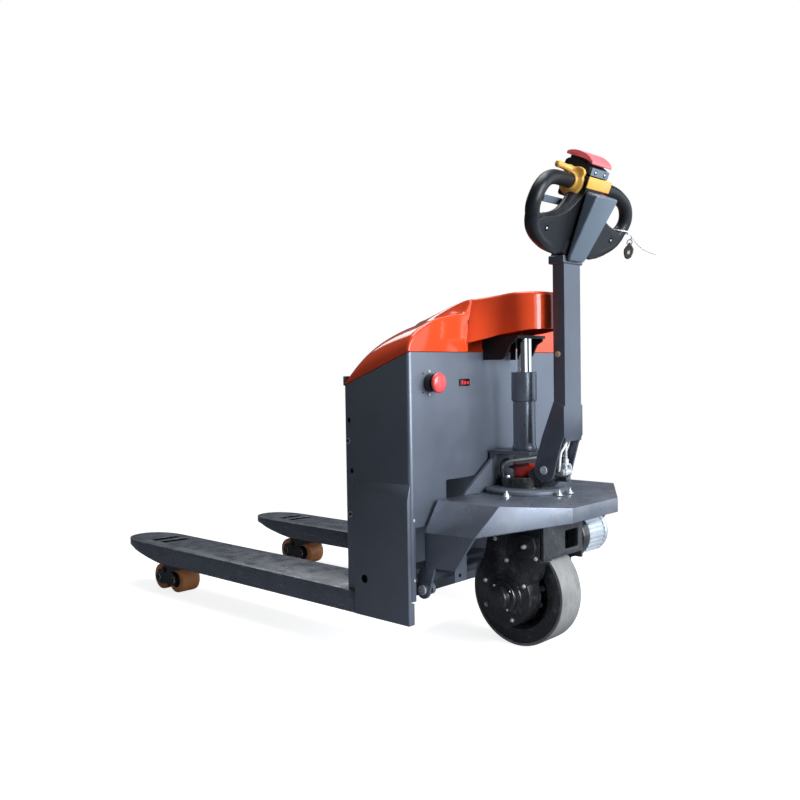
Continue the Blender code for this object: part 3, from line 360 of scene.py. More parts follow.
def disc(bm, centre, axis, radius, high, steps, low=0):
    """A plain cylinder along an axis, from low to high."""
    lathe(bm, centre, axis, [(0, low), (radius, low), (radius, high), (0, high)], steps)


def drawn(fill, *shape):
    """A new mesh with one shape in it."""
    bm = bmesh.new()
    fill(bm, *shape)
    return bm


def mirrored(half):
    """An outline from the (across, up) points of its right half."""
    return half + [(-a, b) for a, b in reversed(half)]


def both_ends(edge):
    """A lathe profile from (radius, distance from the middle) points, for one end and then for the other."""
    return [(radius, -along) for radius, along in edge] + edge[::-1]


def prism(bm, outline, place, low, high):
    """Extrude an outline of (a, b) pairs from low to high, where place(a, b, c) gives the point."""
    first = [bm.verts.new(place(a, b, low)) for a, b in outline]
    second = [bm.verts.new(place(a, b, high)) for a, b in outline]
    bm.faces.new(first[::-1])
    bm.faces.new(second)
    skin(bm, first, second)


def block(bm, low, high):
    """A box between two opposite corners."""
    low, high = Vector(low), Vector(high)
    prism(bm, [(low.x, low.y), (high.x, low.y), (high.x, high.y), (low.x, high.y)],
          lambda a, b, c: Vector((a, b, c)), low.z, high.z)


def hex_bolt(bm, centre, axis, radius, height, washer=1.55):
    """A hexagon head on a washer, pointing along axis."""
    axis = Vector(axis).normalized()
    centre = Vector(centre)
    disc(bm, centre, axis, radius * washer, 0.0011, 24)
    side = axis.orthogonal().normalized()
    up = axis.cross(side)
    rings = []
    for along, size in ((0.001, radius), (height - 0.0007, radius), (height, radius * 0.86)):
        rings.append(ring_about(bm, centre + axis * along, side, up, size, 6, 0.3))
    bm.faces.new(rings[0][::-1])
    bm.faces.new(rings[-1])
    for first, second in zip(rings, rings[1:]):
        skin(bm, first, second)


def screw_head(bm, centre, axis, radius, height):
    """A domed screw head with a small socket."""
    lathe(bm, centre, axis,
          [(radius, 0), (radius, height * 0.45), (radius * 0.8, height * 0.9), (radius * 0.42, height),
           (radius * 0.36, height * 0.45), (0, height * 0.4)], 20)


def oval(half_width, half_height, count, rise=0):
    """An oval outline, rise above the origin."""
    return [(half_width * cos(TURN * k / count), rise + half_height * sin(TURN * k / count)) for k in range(count)]


def arc(centre, radius, start, end, count):
    """Points on a circle from one angle to another, in degrees."""
    angles = [radians(start + (end - start) * k / (count - 1)) for k in range(count)]
    return [(centre[0] + radius * cos(a), centre[1] + radius * sin(a)) for a in angles]


def smooth_route(points, steps):
    """A curve through the points, with this many steps between each two."""
    points = [Vector(p) for p in points]
    route = []
    for index in range(len(points) - 1):
        before = points[max(index - 1, 0)]
        start, end = points[index], points[index + 1]
        after = points[min(index + 2, len(points) - 1)]
        for step in range(steps):
            t = step / steps
            route.append(0.5 * ((2 * start) + (end - before) * t + (2 * before - 5 * start + 4 * end - after) * t * t
                                + (3 * start - before - 3 * end + after) * t ** 3))
    route.append(points[-1])
    return route


def smoothstep(low, high, value):
    """0 below low, 1 above high, and smooth between."""
    t = min(max((value - low) / (high - low), 0), 1.0)
    return t * t * (3 - 2 * t)


def melted(obj, voxel, smooth_steps):
    """Fuse the shells of a mesh and round their joins: a voxel remesh, then smoothing."""
    remesh = obj.modifiers.new("fuse", "REMESH")
    remesh.mode = "VOXEL"
    remesh.voxel_size = voxel
    remesh.use_smooth_shade = True
    relax = obj.modifiers.new("relax", "SMOOTH")
    relax.factor = 0.5
    relax.iterations = smooth_steps
    baked(obj)
    obj.data.shade_smooth()
    return obj


def formed(node, look, body, width, segments=3, angle=30.0, extra=None):
    """The node's shape with its flat faces made whole and its edges rounded; extra(bm) may work on it first."""
    bm = bmesh.new()
    bm.from_mesh(nodes[node].data)
    bmesh.ops.remove_doubles(bm, verts=bm.verts, dist=1e-6)
    bmesh.ops.dissolve_limit(bm, angle_limit=radians(0.6), verts=bm.verts, edges=bm.edges)
    if extra:
        extra(bm)
    obj = rounded(node + "_formed", bm, look, width, segments, angle)
    shaded(obj, 32.0)
    settle(obj, body, (node,))


# ---- top cover
def edge_height(x):
    """Height of the box's upper edge, which falls towards the forks."""
    return BOX_TOP + BOX_FALL * x / BOX_DEPTH


def roll(depth, radius):
    """How far a rolled edge has dropped, at this depth past the start of the roll."""
    return radius - sqrt(max(radius ** 2 - depth ** 2, 0)) if depth > 0 else 0


def cover_height(x, y):
    """Height of the hood: a rounded roof with a raised spine behind the nose."""
    edge = edge_height(x) + 0.002
    from_front = x + BOX_DEPTH
    rise = 0.016 + 0.11 * (1 - exp(-from_front / 0.026)) - 0.028 * (from_front / BOX_DEPTH) ** 2
    across = min(abs(y) / BOX_HALF, 1.0)
    shoulder = edge + rise * (1 - across ** 2.4) ** 0.47 - roll(0.01 + x, 0.01) - roll(-0.206 - x, 0.008)
    spine_top = 0.806 + 0.045 * smoothstep(-0.19, 0, x)
    spread = 0.055 * smoothstep(0, 0.11, -x)
    spine = 1.0 - smoothstep(0.0985 - 0.3 * spread, 0.1265 + spread, abs(y))
    spine *= smoothstep(-0.224, -0.165, x)
    return max(shoulder, edge + 0.002) + max(spine_top - shoulder, 0) * spine


def make_dome():
    """The hood over the box: a height field closed below, hollow where the nose begins."""
    columns = [-BOX_DEPTH + BOX_DEPTH * k / 54 for k in range(51)] + [-0.0135, -0.01, -0.0065, -0.0035, -0.0012, 0]
    from_middle = [BOX_HALF, 0.3315, 0.33, 0.327, 0.323, 0.318, 0.311] + [0.303 - 0.0065 * k for k in range(47)]
    rows = sorted({round(side * y, 5) for side in (-1, 1) for y in from_middle if y >= 0})
    bm = bmesh.new()
    top = [[bm.verts.new(P(x, y, cover_height(x, y))) for y in rows] for x in columns]
    low = [[bm.verts.new(P(x, y, edge_height(x) + 0.0016)) for y in rows] for x in columns]
    last_column, last_row = len(columns) - 1, len(rows) - 1
    for i in range(last_column):
        for j in range(last_row):
            bm.faces.new((top[i][j], top[i + 1][j], top[i + 1][j + 1], top[i][j + 1]))
            bm.faces.new((low[i][j], low[i][j + 1], low[i + 1][j + 1], low[i + 1][j]))
    for i in range(last_column):
        for j in (0, last_row):
            bm.faces.new((top[i][j], low[i][j], low[i + 1][j], top[i + 1][j]))
    for j in range(last_row):
        for i in (0, last_column):
            bm.faces.new((top[i][j], top[i][j + 1], low[i][j + 1], low[i][j]))
    dome = new_object("top_cover_dome", bm, red, 40.0)
    hollowed(dome, drawn(block, P(-0.13, -0.1165, 0.6), P(0.01, 0.1165, 0.8)), red, 48.0)
    settle(dome, "fork_frame", ("top_cover",))


def make_nose():
    """The nose that reaches out over the mast: a hollow hood, open to the box and below."""
    half = [(0, 0.1235), (0.006, 0.12), (0.014, 0.112), (0.024, 0.1005), (0.035, 0.089), (0.047, 0.0795),
            (0.06, 0.0735), (0.075, 0.0715), (0.09, 0.0715), (0.104, 0.071),
            *arc((0.104, 0.01), 0.061, 90.0, 8.0, 14)[1:], (0.1652, 0.0095)]
    outline = half + [(x, -y) for x, y in reversed(half)]
    count = len(outline)

    def height(x, level):
        """Height of the wall above x: level 0 is its lower edge and 1 its top."""
        high = 0.8512 + 0.0116 * smoothstep(-0.01, 0.105, x)
        low = 0.743 + 0.021 * x / 0.065 if x < 0.065 else 0.764 + 0.01 * smoothstep(0.065, 0.165, x)
        return low + (high - low) * level

    def ring(outset, level, drop=0):
        """The outline at a level of the wall, moved outwards by outset and down by drop."""
        points = []
        for k, (x, y) in enumerate(outline):
            (ax, ay), (bx, by) = outline[max(k - 1, 0)], outline[min(k + 1, count - 1)]
            size = sqrt((bx - ax) ** 2 + (by - ay) ** 2)
            lean = 0.024 * (1 - smoothstep(0, 0.058, x)) * level
            across = y + (bx - ax) / size * outset - (lean if y > 0 else -lean)
            along = x if k in (0, count - 1) else x - (by - ay) / size * outset
            points.append(P(along, across, height(x, level) - drop))
        return points

    rings = [ring(0, level) for level in (0, 0.3, 0.62)]
    edge_radius = 0.009
    for k in range(7):
        angle = pi / 2 * k / 6
        rings.append(ring(-edge_radius * (1 - cos(angle)), 1.0, edge_radius * (1 - sin(angle))))
    bm = bmesh.new()
    walls = [[bm.verts.new(point) for point in points] for points in rings]
    for first, second in zip(walls, walls[1:]):
        for k in range(count - 1):
            bm.faces.new((first[k], first[k + 1], second[k + 1], second[k]))
    roof = walls[-1]
    for k in range(count // 2 - 1):         # strips straight across
        bm.faces.new((roof[k], roof[k + 1], roof[count - 2 - k], roof[count - 1 - k]))
    nose = new_object("top_cover_nose", bm, red, 44.0)
    wall = nose.modifiers.new("wall", "SOLIDIFY")
    wall.thickness = 0.004
    wall.offset = -1.0
    baked(nose)
    shaded(nose, 44.0)
    settle(nose, "fork_frame")


make_dome()
make_nose()


# ---- nodes with their edges rounded
def round_corners(bm):
    """Roll the box's long upright corners to the folded sheet's own radius."""
    picked = []
    for edge in bm.edges:
        first, second = (vert.co for vert in edge.verts)
        at_face = abs(first.x - OX) < 2e-4 or abs(first.x - OX + BOX_DEPTH) < 2e-4
        if (abs(first.x - second.x) < 1e-5 and abs(first.y - second.y) < 1e-5 and at_face
                and abs(abs(first.y) - BOX_HALF) < 2e-4 and edge.calc_length() > 0.2):
            picked.append(edge)
    bmesh.ops.bevel(bm, geom=picked, offset=0.0095, segments=6, affect="EDGES", profile=0.5, clamp_overlap=False)


formed("power_box", paint, "fork_frame", 0.0009, 2, 40.0, round_corners)
formed("chassis_apron", deck_paint, "chassis", 0.0022, 3, 18.0)
formed("mast_bracket", cast_paint, "chassis", 0.0035)
formed("steering_ring", cast_paint, "chassis", 0.002)
for side_name in ("left", "right"):
    formed("fork_" + side_name, fork_paint, "fork_frame", 0.0024)
    formed("side_member_" + side_name, paint, "fork_frame", 0.0022)
formed("tiller_arm", arm_paint, "tiller", 0.0012)
formed("head_rear_cover", blue_grey, "tiller", 0.0028, 3, 25.0)
formed("gearbox", black_gloss, "drive_unit", 0.0022, 3, 28.0)
formed("lift_cylinder", cylinder_paint, "chassis", 0.0012, 2)
formed("cylinder_gland", cylinder_paint, "chassis", 0.0016, 2)
formed("drive_bracket", plate_steel, "drive_unit", 0.0012, 2)
formed("head_band", yellow, "tiller", 0.0008, 2)
for node in ("turntable", "motor_flange"):
    formed(node, black_gloss, "drive_unit", 0.0018, 2)
formed("hub_cap", black_gloss, "drive_unit", 0.002)


# ---- drive wheel and gearbox
def make_wheel():
    centre = P(STEER_X, 0, WHEEL_R)
    bm = bmesh.new()
    tyre = both_ends([(0.124, 0.0412), (0.129, 0.042), (0.1306, 0.0416), (0.1314, 0.0404), (0.1318, 0.0385),
                      (WHEEL_R, 0.03)])
    lathe(bm, centre, Y, tyre + [(0.1235, 0), tyre[0]], 144)
    piece("drive_tyre_tread", bm, tread, "drive_wheel", ("drive_tyre",))
    bands, rims, bolts = bmesh.new(), bmesh.new(), bmesh.new()
    for sign in (-1, 1):
        outwards = (0, sign, 0)
        lathe(bands, centre, outwards, [(0.088, 0), (0.088, 0.0395), (0.0905, 0.0418), (0.096, 0.0424),
                                        (0.12, 0.0424), (0.1236, 0.042), (0.1242, 0.0408), (0.1242, 0)], 128)
        lathe(rims, centre, outwards,
              [(0, 0.024), (0.03, 0.024), (0.034, 0.022), (0.036, 0.012), (0.04, 0.009), (0.06, 0.008),
               (0.072, 0.01), (0.079, 0.018), (0.083, 0.034), (0.0855, 0.0385), (0.0878, 0.0395), (0.0879, 0)], 96)
        for k in range(8):
            angle = TURN * k / 8 + 0.2
            place = centre + Vector((0.054 * cos(angle), sign * 0.0082, 0.054 * sin(angle)))
            hex_bolt(bolts, place, outwards, 0.005, 0.005)
    piece("drive_tyre_band", bands, black_gloss, "drive_wheel")
    piece("drive_wheel_rim", rims, black_gloss, "drive_wheel", ("drive_wheel_hub",))
    piece("drive_wheel_bolts", bolts, zinc, "drive_wheel")


def make_gearbox_trim():
    """Studs and bosses on the gearbox's cover, on the operator's left."""
    outwards = (0, -1, 0)
    bm = bmesh.new()
    for x, z in ((0.094, 0.2215), (0.1775, 0.236), (0.143, 0.166), (0.108, 0.079), (0.03, 0.164),
                 (0.06, 0.27), (0.032, 0.105)):
        hex_bolt(bm, P(x, GEAR_FACE, z), outwards, 0.004, 0.0052, 1.3)
    for x, z in arc((STEER_X, WHEEL_R), 0.033, 35, 305, 4):
        hex_bolt(bm, P(x, -0.108, z), outwards, 0.0024, 0.0022, 1.2)
    hex_bolt(bm, P(MOTOR_X, -0.103, MOTOR_Z), outwards, 0.0042, 0.01, 1.3)
    piece("gearbox_bolts", bm, zinc, "drive_unit")
    bm = bmesh.new()
    lathe(bm, P(MOTOR_X, GEAR_FACE, MOTOR_Z), outwards,
          [(0, 0), (0.03, 0), (0.03, 0.0052), (0.0285, 0.0068), (0, 0.0068)], 48)
    lathe(bm, P(STEER_X, GEAR_FACE, WHEEL_R), outwards,
          [(0.0402, 0), (0.052, 0), (0.051, 0.0024), (0.042, 0.004), (0.0402, 0.004), (0.0402, 0)], 64)
    piece("gearbox_bosses", bm, black_gloss, "drive_unit")


make_wheel()
make_gearbox_trim()


# ---- drive motor
def make_motor():
    centre = P(MOTOR_X, 0, MOTOR_Z)
    bm = bmesh.new()
    lathe(bm, centre, Y,
          [(0, 0.1043), (0.051, 0.1043), (0.051, 0.11), (0.048, 0.111), (0.048, 0.18), (0.05, 0.1808),
           (0.05, 0.19), (0.047, 0.196), (0.038, 0.1998), (0, 0.1998)], 72)
    inner, outer, thick = 0.0465, 0.0538, 0.0014
    for k in range(28):
        angle = TURN * (k + 0.5) / 28
        radial = Vector((cos(angle), 0, sin(angle)))
        side = Vector((-sin(angle), 0, cos(angle)))
        prism(bm, [(inner, -thick * 1.3), (outer, -thick * 0.7), (outer, thick * 0.7), (inner, thick * 1.3)],
              lambda r, t, y: centre + radial * r + side * t + Vector((0, y, 0)), 0.1085, 0.179)
    lathe(bm, centre, Y,
          [(0.048, 0.178), (0.053, 0.1788), (0.0539, 0.18), (0.0539, 0.187), (0.052, 0.1925), (0.047, 0.1965),
           (0.038, 0.1995), (0.037, 0.19), (0.048, 0.178)], 72)
    piece("drive_motor_finned", bm, silver, "drive_unit", ("drive_motor",))
    bm = bmesh.new()
    for x, z in arc((0, 0), 0.03, 45, 315, 4):
        hex_bolt(bm, centre + Vector((x, 0.1985, z)), Y, 0.003, 0.0013)
    piece("motor_end_bolts", bm, zinc, "drive_unit")


make_motor()


# ---- load rollers
def make_rollers(side_name, middle):
    for end_name in ("front", "rear"):
        node = "load_roller_%s_%s" % (side_name, end_name)
        low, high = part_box(node)
        centre = (Vector(low) + Vector(high)) / 2
        half = (high[1] - low[1]) / 2
        edge = both_ends([(0.0238, half - 0.0012), (0.036, half - 0.0008), (0.0385, half - 0.0022),
                          (0.0397, half - 0.005), (ROLLER_R, half - 0.011)])
        bm = bmesh.new()
        lathe(bm, centre, Y, edge[:5] + [(ROLLER_R, 0)] + edge[5:] + [(0.0236, 0), edge[0]], 72)
        piece(node + "_tread", bm, load_tread, node[5:], (node,))
        edge = both_ends([(0.0086, half - 0.0002), (0.013, half), (0.015, half - 0.003), (0.02, half - 0.0034),
                          (0.0236, half - 0.001)])
        bm = bmesh.new()
        lathe(bm, centre, Y, edge + edge[:1], 48)
        piece(node + "_core", bm, dark_metal, node[5:])
    bm = bmesh.new()
    for x in ROLLER_X:
        for out in (-1, 1):
            lathe(bm, P(x, middle + out * 0.0396, ROLLER_R), (0, out, 0),
                  [(0, 0), (0.0098, 0), (0.0098, 0.002), (0.0085, 0.0032), (0, 0.0036)], 24)
    piece("roller_axle_ends_" + side_name, bm, zinc, "bogie_" + side_name)
    bm = bmesh.new()
    for out in (-1, 1):
        lathe(bm, P(-1.069, middle + out * 0.0478, 0.068), (0, out, 0),
              [(0, 0), (0.007, 0), (0.007, 0.0016), (0.0058, 0.0026), (0, 0.0028)], 24)
    piece("bogie_pin_ends_" + side_name, bm, zinc, "yoke_" + side_name)
    # thin black sheets just under the fork's slots: painted shade, so that the slots read black
    bm = bmesh.new()
    for x in (-1.146, -1.092):
        prism(bm, [(x - 0.0155, -0.0355), (x + 0.0135, -0.0355), (x + 0.0255, 0.0495), (x - 0.0035, 0.0495)],
              lambda a, b, c: P(a, middle + b, c), 0.1462, 0.1502)
    piece("fork_slot_painted_shade_" + side_name, bm, painted_hole_shade, "fork_frame")


make_rollers("left", -FORK_MIDDLE)
make_rollers("right", FORK_MIDDLE)


# ---- control head
def make_moulding():
    """The head's body and its two hand loops, fused and rounded."""
    half = [(0, 0.0135), (0.05, 0.0135), (0.075, 0.006), (0.105, 0.0115), (0.13, 0.02), (0.155, 0.032),
            (0.172, 0.042), (0.184, 0.052), (0.188, 0.062), (0.184, 0.073), (0.172, 0.081), (0.155, 0.0865),
            (0.14, 0.09), (0.12, 0.0935), (0.105, 0.098), (0.088, 0.1045), (0.076, 0.112), (0.064, 0.124),
            (0.052, 0.138), (0.041, 0.15)]
    border = [(0.19, 0.089, -0.0205), (0.183, 0.068, -0.0205), (0.166, 0.05, -0.0205), (0.14, 0.0365, -0.0205),
              (0.112, 0.027, -0.0205), (0.088, 0.0225, -0.0205), (0.07, 0.022, -0.0205)]
    web = [(0.186, 0.074, -0.021), (0.168, 0.07, -0.021), (0.14, 0.0765, -0.021), (0.11, 0.085, -0.022),
           (0.086, 0.096, -0.024), (0.066, 0.111, -0.028), (0.048, 0.13, -0.032), (0.03, 0.15, -0.036)]
    loop = [(0.03, BAR_UP, BAR_OUT), (0.06, BAR_UP, BAR_OUT), (0.09, BAR_UP, BAR_OUT), (0.118, 0.1705, -0.044),
            (0.142, 0.167, -0.039), (0.162, 0.16, -0.034), (0.179, 0.15, -0.028), (0.191, 0.136, -0.024),
            (0.198, 0.118, -0.021), (0.1975, 0.102, -0.0205), (0.192, 0.088, -0.0205)]
    bm = bmesh.new()
    prism(bm, mirrored(half), H, -0.0345, -0.0065)
    tubes = ((loop, 5, 0.0165, 28), (border, 4, lambda t: 0.0168 - 0.003 * t, 24),
             (web, 4, lambda t: 0.0145 + 0.002 * t, 24))
    for sign in (-1, 1):
        for points, steps, thick, sides in tubes:
            sweep(bm, smooth_route([H(sign * a, b, c) for a, b, c in points], steps), thick, sides)
        prism(bm, [(0.096, -0.063), (0.1103, -0.063), (0.1103, -0.035), (0.096, -0.025)],
              lambda b, c, a: H(sign * a, b, c), 0.026, 0.033)
    prism(bm, mirrored([(0.04, -0.012), (0.042, 0.04)]), H, -0.0395, -0.0045)
    prism(bm, mirrored([(0.036, 0.134), (0.041, 0.139), (0.041, 0.1918)]), H, -0.078, -0.0055)
    body = melted(new_object("head_moulding", bm, charcoal), 0.0021, 7)
    hollowed(body, drawn(disc, H(0, 0.104, -0.056), HEAD_ACROSS, 0.0046, 0.05, 20, -0.05), charcoal, 50.0)
    settle(body, "tiller", ("control_head",))


def make_head_top():
    """The hub above the loops, the red safety cap arched from front to back, and the neck between them."""
    bm = bmesh.new()
    prism(bm, [(-0.079, 0.1925), (-0.019, 0.1925), (-0.0135, 0.1965), (-0.0125, 0.204), (-0.0126, 0.2095),
               (-0.016, 0.2128), (-0.025, 0.2165), (-0.04, 0.2195), (-0.078, 0.2195), (-0.085, 0.214),
               (-0.0862, 0.204), (-0.0845, 0.197)], H_side, -0.0408, 0.0408)
    hub = rounded("head_hub_moulding", bm, charcoal, 0.003, 4)
    hub.data.shade_smooth()
    settle(hub, "tiller", ("head_hub",))
    upper = [(-0.0868, 0.233, 0), (-0.076, 0.2378, 0), (-0.062, 0.2402, 0), (-0.048, 0.2401, 0),
             (-0.034, 0.2378, 0), (-0.022, 0.233, 0), (-0.013, 0.2262, 0), (-0.0095, 0.221, 0)]
    lower = [(-0.0112, 0.2185, 0), (-0.016, 0.2205, 0), (-0.025, 0.224, 0), (-0.04, 0.2262, 0),
             (-0.062, 0.2266, 0), (-0.086, 0.2262, 0)]
    bm = bmesh.new()
    prism(bm, [(p.x, p.y) for p in smooth_route(upper, 3) + smooth_route(lower, 3)], H_side, -0.0425, 0.0425)
    cap = rounded("belly_cap", bm, belly_red, 0.0032, 4, 45.0)
    bm = bmesh.new()
    prism(bm, [(-0.08, 0.2), (-0.024, 0.2), (-0.024, 0.23), (-0.042, 0.2342), (-0.08, 0.2342)],
          H_side, -0.0375, 0.0375)
    hollowed(cap, bm, belly_red, 40.0)
    settle(cap, "belly_button", ("belly_button",))
    bm = bmesh.new()
    prism(bm, [(-0.0775, 0.217), (-0.0262, 0.214), (-0.0262, 0.2235), (-0.043, 0.2272), (-0.0775, 0.2272)],
          H_side, -0.0355, 0.0355)
    settle(rounded("belly_neck", bm, rubber, 0.0015, 2), "tiller")


def make_head_plate():
    """The grey plate under the cap, the screws in it and in the loops, and the painted shade of the wells they sit
    in.
    """
    bm = bmesh.new()
    prism(bm, mirrored([(0.0355, 0.194), (0.0375, 0.1955), (0.0375, 0.2105), (0.0355, 0.212)]), H,
          -0.0125, -0.0086)
    settle(rounded("head_plate", bm, blue_grey, 0.0009, 2), "tiller", ("head_face_plate",))
    screws, wells = bmesh.new(), bmesh.new()
    for reach, rise, screw_out, screw_high, well_out, well_radius, well_high in (
            (0.02, 0.203, -0.0087, 0.0012, -0.0086, 0.0054, 0.0003),
            (0.14, 0.062, -0.0064, 0.0016, -0.0068, 0.0062, 0.001)):
        for across in (-reach, reach):
            screw_head(screws, H(across, rise, screw_out), HEAD_OUT, 0.0029, screw_high)
            # the wells are thin black discs: painted shade for the recess round each screw
            lathe(wells, H(across, rise, well_out), HEAD_OUT,
                  [(well_radius, 0), (well_radius, well_high), (0, well_high)], 24)
    piece("head_screws", screws, zinc, "tiller")
    piece("head_screw_well_painted_shade", wells, painted_hole_shade, "tiller")


def make_throttle(side_name, sign):
    """A yellow butterfly lever round the end of the hand loop."""
    def aside(c, b, a):
        return H(sign * a, b, c)

    axis = H(sign, 0, 0) - H(0, 0, 0)
    middle = H(0, BAR_UP, BAR_OUT)
    bm = bmesh.new()
    lathe(bm, middle, axis,
          [(0.015, 0.042), (0.032, 0.042), (0.0332, 0.0435), (0.0332, 0.0475), (0.031, 0.0505), (0.0245, 0.0525),
           (0.0205, 0.0545), (0.0195, 0.0578), (0.015, 0.0578), (0.015, 0.042)], 48)
    # the lobe by the thumb, nearest the operator
    prism(bm, [(-0.05, 0.19), (-0.041, 0.189), (-0.03, 0.187), (-0.0195, 0.1865), (-0.016, 0.1955),
               (-0.0215, 0.204), (-0.033, 0.207), (-0.045, 0.204)], aside, 0.0425, 0.052)
    # the blade for the fingers, reaching outwards over the bar, and its root
    blade = smooth_route([H(sign * a, b, c) for a, b, c in (
        (0.044, 0.191, -0.052), (0.056, 0.1955, -0.058), (0.07, 0.1975, -0.064), (0.084, 0.199, -0.069),
        (0.0905, 0.2, -0.071))], 5)
    sweep(bm, blade, lambda t: ((0.0118 - 0.0036 * sin(pi * t) - 0.0012 * t)
                                * sqrt(1.0 - 0.75 * smoothstep(0.8, 1.0, t))), 20)
    prism(bm, [(-0.064, 0.178), (-0.046, 0.182), (-0.042, 0.198), (-0.06, 0.206), (-0.071, 0.199),
               (-0.072, 0.186)], aside, 0.0435, 0.0545)
    lever = melted(new_object("throttle_lever_" + side_name, bm, yellow), 0.0011, 26)
    hollowed(lever, drawn(disc, middle, axis, 0.0172, 0.1, 40, 0.02), yellow, 50.0)
    settle(lever, "throttle_" + side_name, ("throttle_" + side_name,))


make_moulding()
make_head_top()
make_head_plate()
make_throttle("left", -1)
make_throttle("right", 1)


# ---- key on its tie
def key_place(a, b, c):
    """a across the fob, b down from the tie, c through it."""
    return P(0.2545, 0.219, 0.999) + Vector((0.8 * a - 0.6 * c - 0.1 * b, 0.6 * a + 0.8 * c - 0.06 * b, -b))


def make_key():
    knot = H(0.202, 0.088, -0.003)
    fob = [(0.0035, 0.013), (0.008, 0.018), (0.012, 0.025), (0.0112, 0.035), (0.0078, 0.0455), (0.0025, 0.049)]
    grip = rounded("key_fob", drawn(prism, mirrored(fob), key_place, -0.0036, 0.0036), rubber, 0.0022, 3)
    grip.data.shade_smooth()
    settle(grip, "ignition_key", ("ignition_key",))
    bm = bmesh.new()
    sweep(bm, [key_place(a, b, 0) for a, b in oval(0.0062, 0.007, 20, 0.008)], 0.0011, 8, True)
    sweep(bm, smooth_route([knot, key_place(0.004, -0.006, 0), key_place(0.001, 0.002, 0)], 4), 0.0012, 8)
    prism(bm, mirrored([(0.0025, 0.0085), (0.003, 0.0165)]), key_place, -0.0012, 0.0012)
    piece("key_ring", bm, dark_metal, "ignition_key", (), 35.0)
    inlay = drawn(prism, oval(0.0032, 0.005, 14, 0.033), key_place, -0.0041, 0.0041)
    piece("key_inlay", inlay, brass, "ignition_key", (), 35.0)
    bm = bmesh.new()
    angles = [TURN * k / 28 for k in range(28)]
    sweep(bm, [H(0.1915 + 0.0186 * cos(angle), 0.088 + 0.003 * sin(angle), -0.0203 + 0.0186 * sin(angle))
               for angle in angles], 0.0017, 10, True)
    tail = [knot, H(0.207, 0.083, 0.008), H(0.211, 0.074, 0.02), H(0.216, 0.066, 0.033), H(0.223, 0.061, 0.05),
            H(0.232, 0.059, 0.0735)]
    sweep(bm, smooth_route(tail, 5), 0.0015, 10)
    corner = Vector((0.0026, 0.0026, 0.0034))
    block(bm, knot - corner, knot + corner)
    piece("key_tie", bm, cable_white, "tiller", ("cable_tie",), 35.0)


make_key()

# ---- emergency stop and display
bm = bmesh.new()
centre = P(0, STOP_Y, STOP_Z)
lathe(bm, centre, X, [(0, 0.025), (0.019, 0.025), (0.0222, 0.0252), (0.0236, 0.0268), (0.024, 0.029),
                      (0.023, 0.0316), (0.0204, 0.034), (0.016, 0.0359), (0.0085, 0.0368), (0, 0.037)], 64)
disc(bm, centre, X, 0.011, 0.0252, 32, 0.0175)
piece("emergency_stop_mushroom", bm, button_red, "emergency_stop", ("emergency_stop_button",), 35.0)
bm = bmesh.new()
for dz in (-0.02684, 0.02684):
    screw_head(bm, P(0.0002, STOP_Y, STOP_Z + dz), X, 0.0034, 0.0016)
piece("emergency_stop_screws", bm, zinc, "fork_frame")
# black discs on the panel: painted shade standing for its four holes
bm = bmesh.new()
for dy in (-0.0225, 0.0225):
    for dz in (0.022, -0.022):
        disc(bm, P(0.0001, STOP_Y + dy, STOP_Z + dz), X, 0.0018, 0.0004, 16)
piece("panel_hole_painted_shade", bm, painted_hole_shade, "fork_frame")
bm = bmesh.new()
for k in range(3):
    middle = -0.1435 + 0.0105 * k
    block(bm, P(0.003, middle - 0.0036, 0.6438), P(0.0033, middle + 0.0036, 0.6532 - 0.001 * k))
piece("display_bars", bm, display_glass, "fork_frame")

# ---- fasteners and trim on the box
# a black block at the front end of the hood: painted shade for the dark gap under its lower edge
end_shade = drawn(block, P(-0.2147, -0.333, 0.645), P(-0.2085, 0.333, 0.668))
settle(rounded("cover_end_painted_shade", end_shade, rubber, 0.0024, 3, 40.0, 40.0), "fork_frame")
slots, screws, washers, face_screws, plugs = (bmesh.new() for _ in range(5))
for sign in (-1, 1):
    side = (0, sign, 0)
    # black ovals on the box's sides: painted shade standing for slots
    for x, z in ((-0.196, 0.562), (-0.189, 0.44)):
        prism(slots, oval(0.0042, 0.0062, 20), lambda a, b, c: P(x + a, sign * (0.3318 + c), z + b), 0, 0.0008)
    for x, z in ((-0.201, 0.512), (-0.197, 0.334)):
        disc(washers, P(x, sign * 0.3319, z), side, 0.0072, 0.0007, 28)
        screw_head(screws, P(x, sign * 0.3322, z), side, 0.005, 0.0024)
    for z in (0.338, 0.2):
        screw_head(face_screws, P(0.0001, sign * 0.322, z), X, 0.0036, 0.0018)
    lathe(plugs, P(-0.141, sign * 0.343, 0.187), side,
          [(0, 0), (0.01, 0), (0.0105, -0.0002), (0.0125, 0), (0.013, -0.0008), (0, -0.001)], 32)
piece("box_side_slot_painted_shade", slots, painted_hole_shade, "fork_frame")
piece("box_side_screws", screws, dark_metal, "fork_frame")
piece("box_side_washers", washers, zinc, "fork_frame")
piece("box_face_screws", face_screws, zinc, "fork_frame")
piece("side_plugs", plugs, rubber, "fork_frame")

# ---- fasteners and trim on the tiller
foot = P(0.2, 0, 0.432)
clevis, side_bolts = bmesh.new(), bmesh.new()
cheek = mirrored([(0.004, -0.01), (0.009, -0.006), (0.009, 0.012), (0.006, 0.018)])
for sign in (-1, 1):
    prism(clevis, cheek, lambda a, b, c: foot + Vector((a, sign * c, b)), 0.0094, 0.0118)
    hex_bolt(clevis, foot + Vector((0, sign * 0.0118, 0)), (0, sign, 0), 0.0062, 0.0062, 1.35)
    hex_bolt(side_bolts, P(0.2035, sign * 0.0352, 0.712), (0, sign, 0), 0.0064, 0.0036, 1.15)
lathe(clevis, foot + Vector((0, 0, 0.018)), Z,
      [(0, 0), (0.0118, 0), (0.0118, 0.0024), (0.007, 0.003), (0.007, 0.012), (0.0062, 0.0128), (0, 0.0128)],
      24)
piece("spring_foot_clevis", clevis, zinc, "gas_spring_rod")
piece("tiller_side_bolts", side_bolts, brass, "tiller")

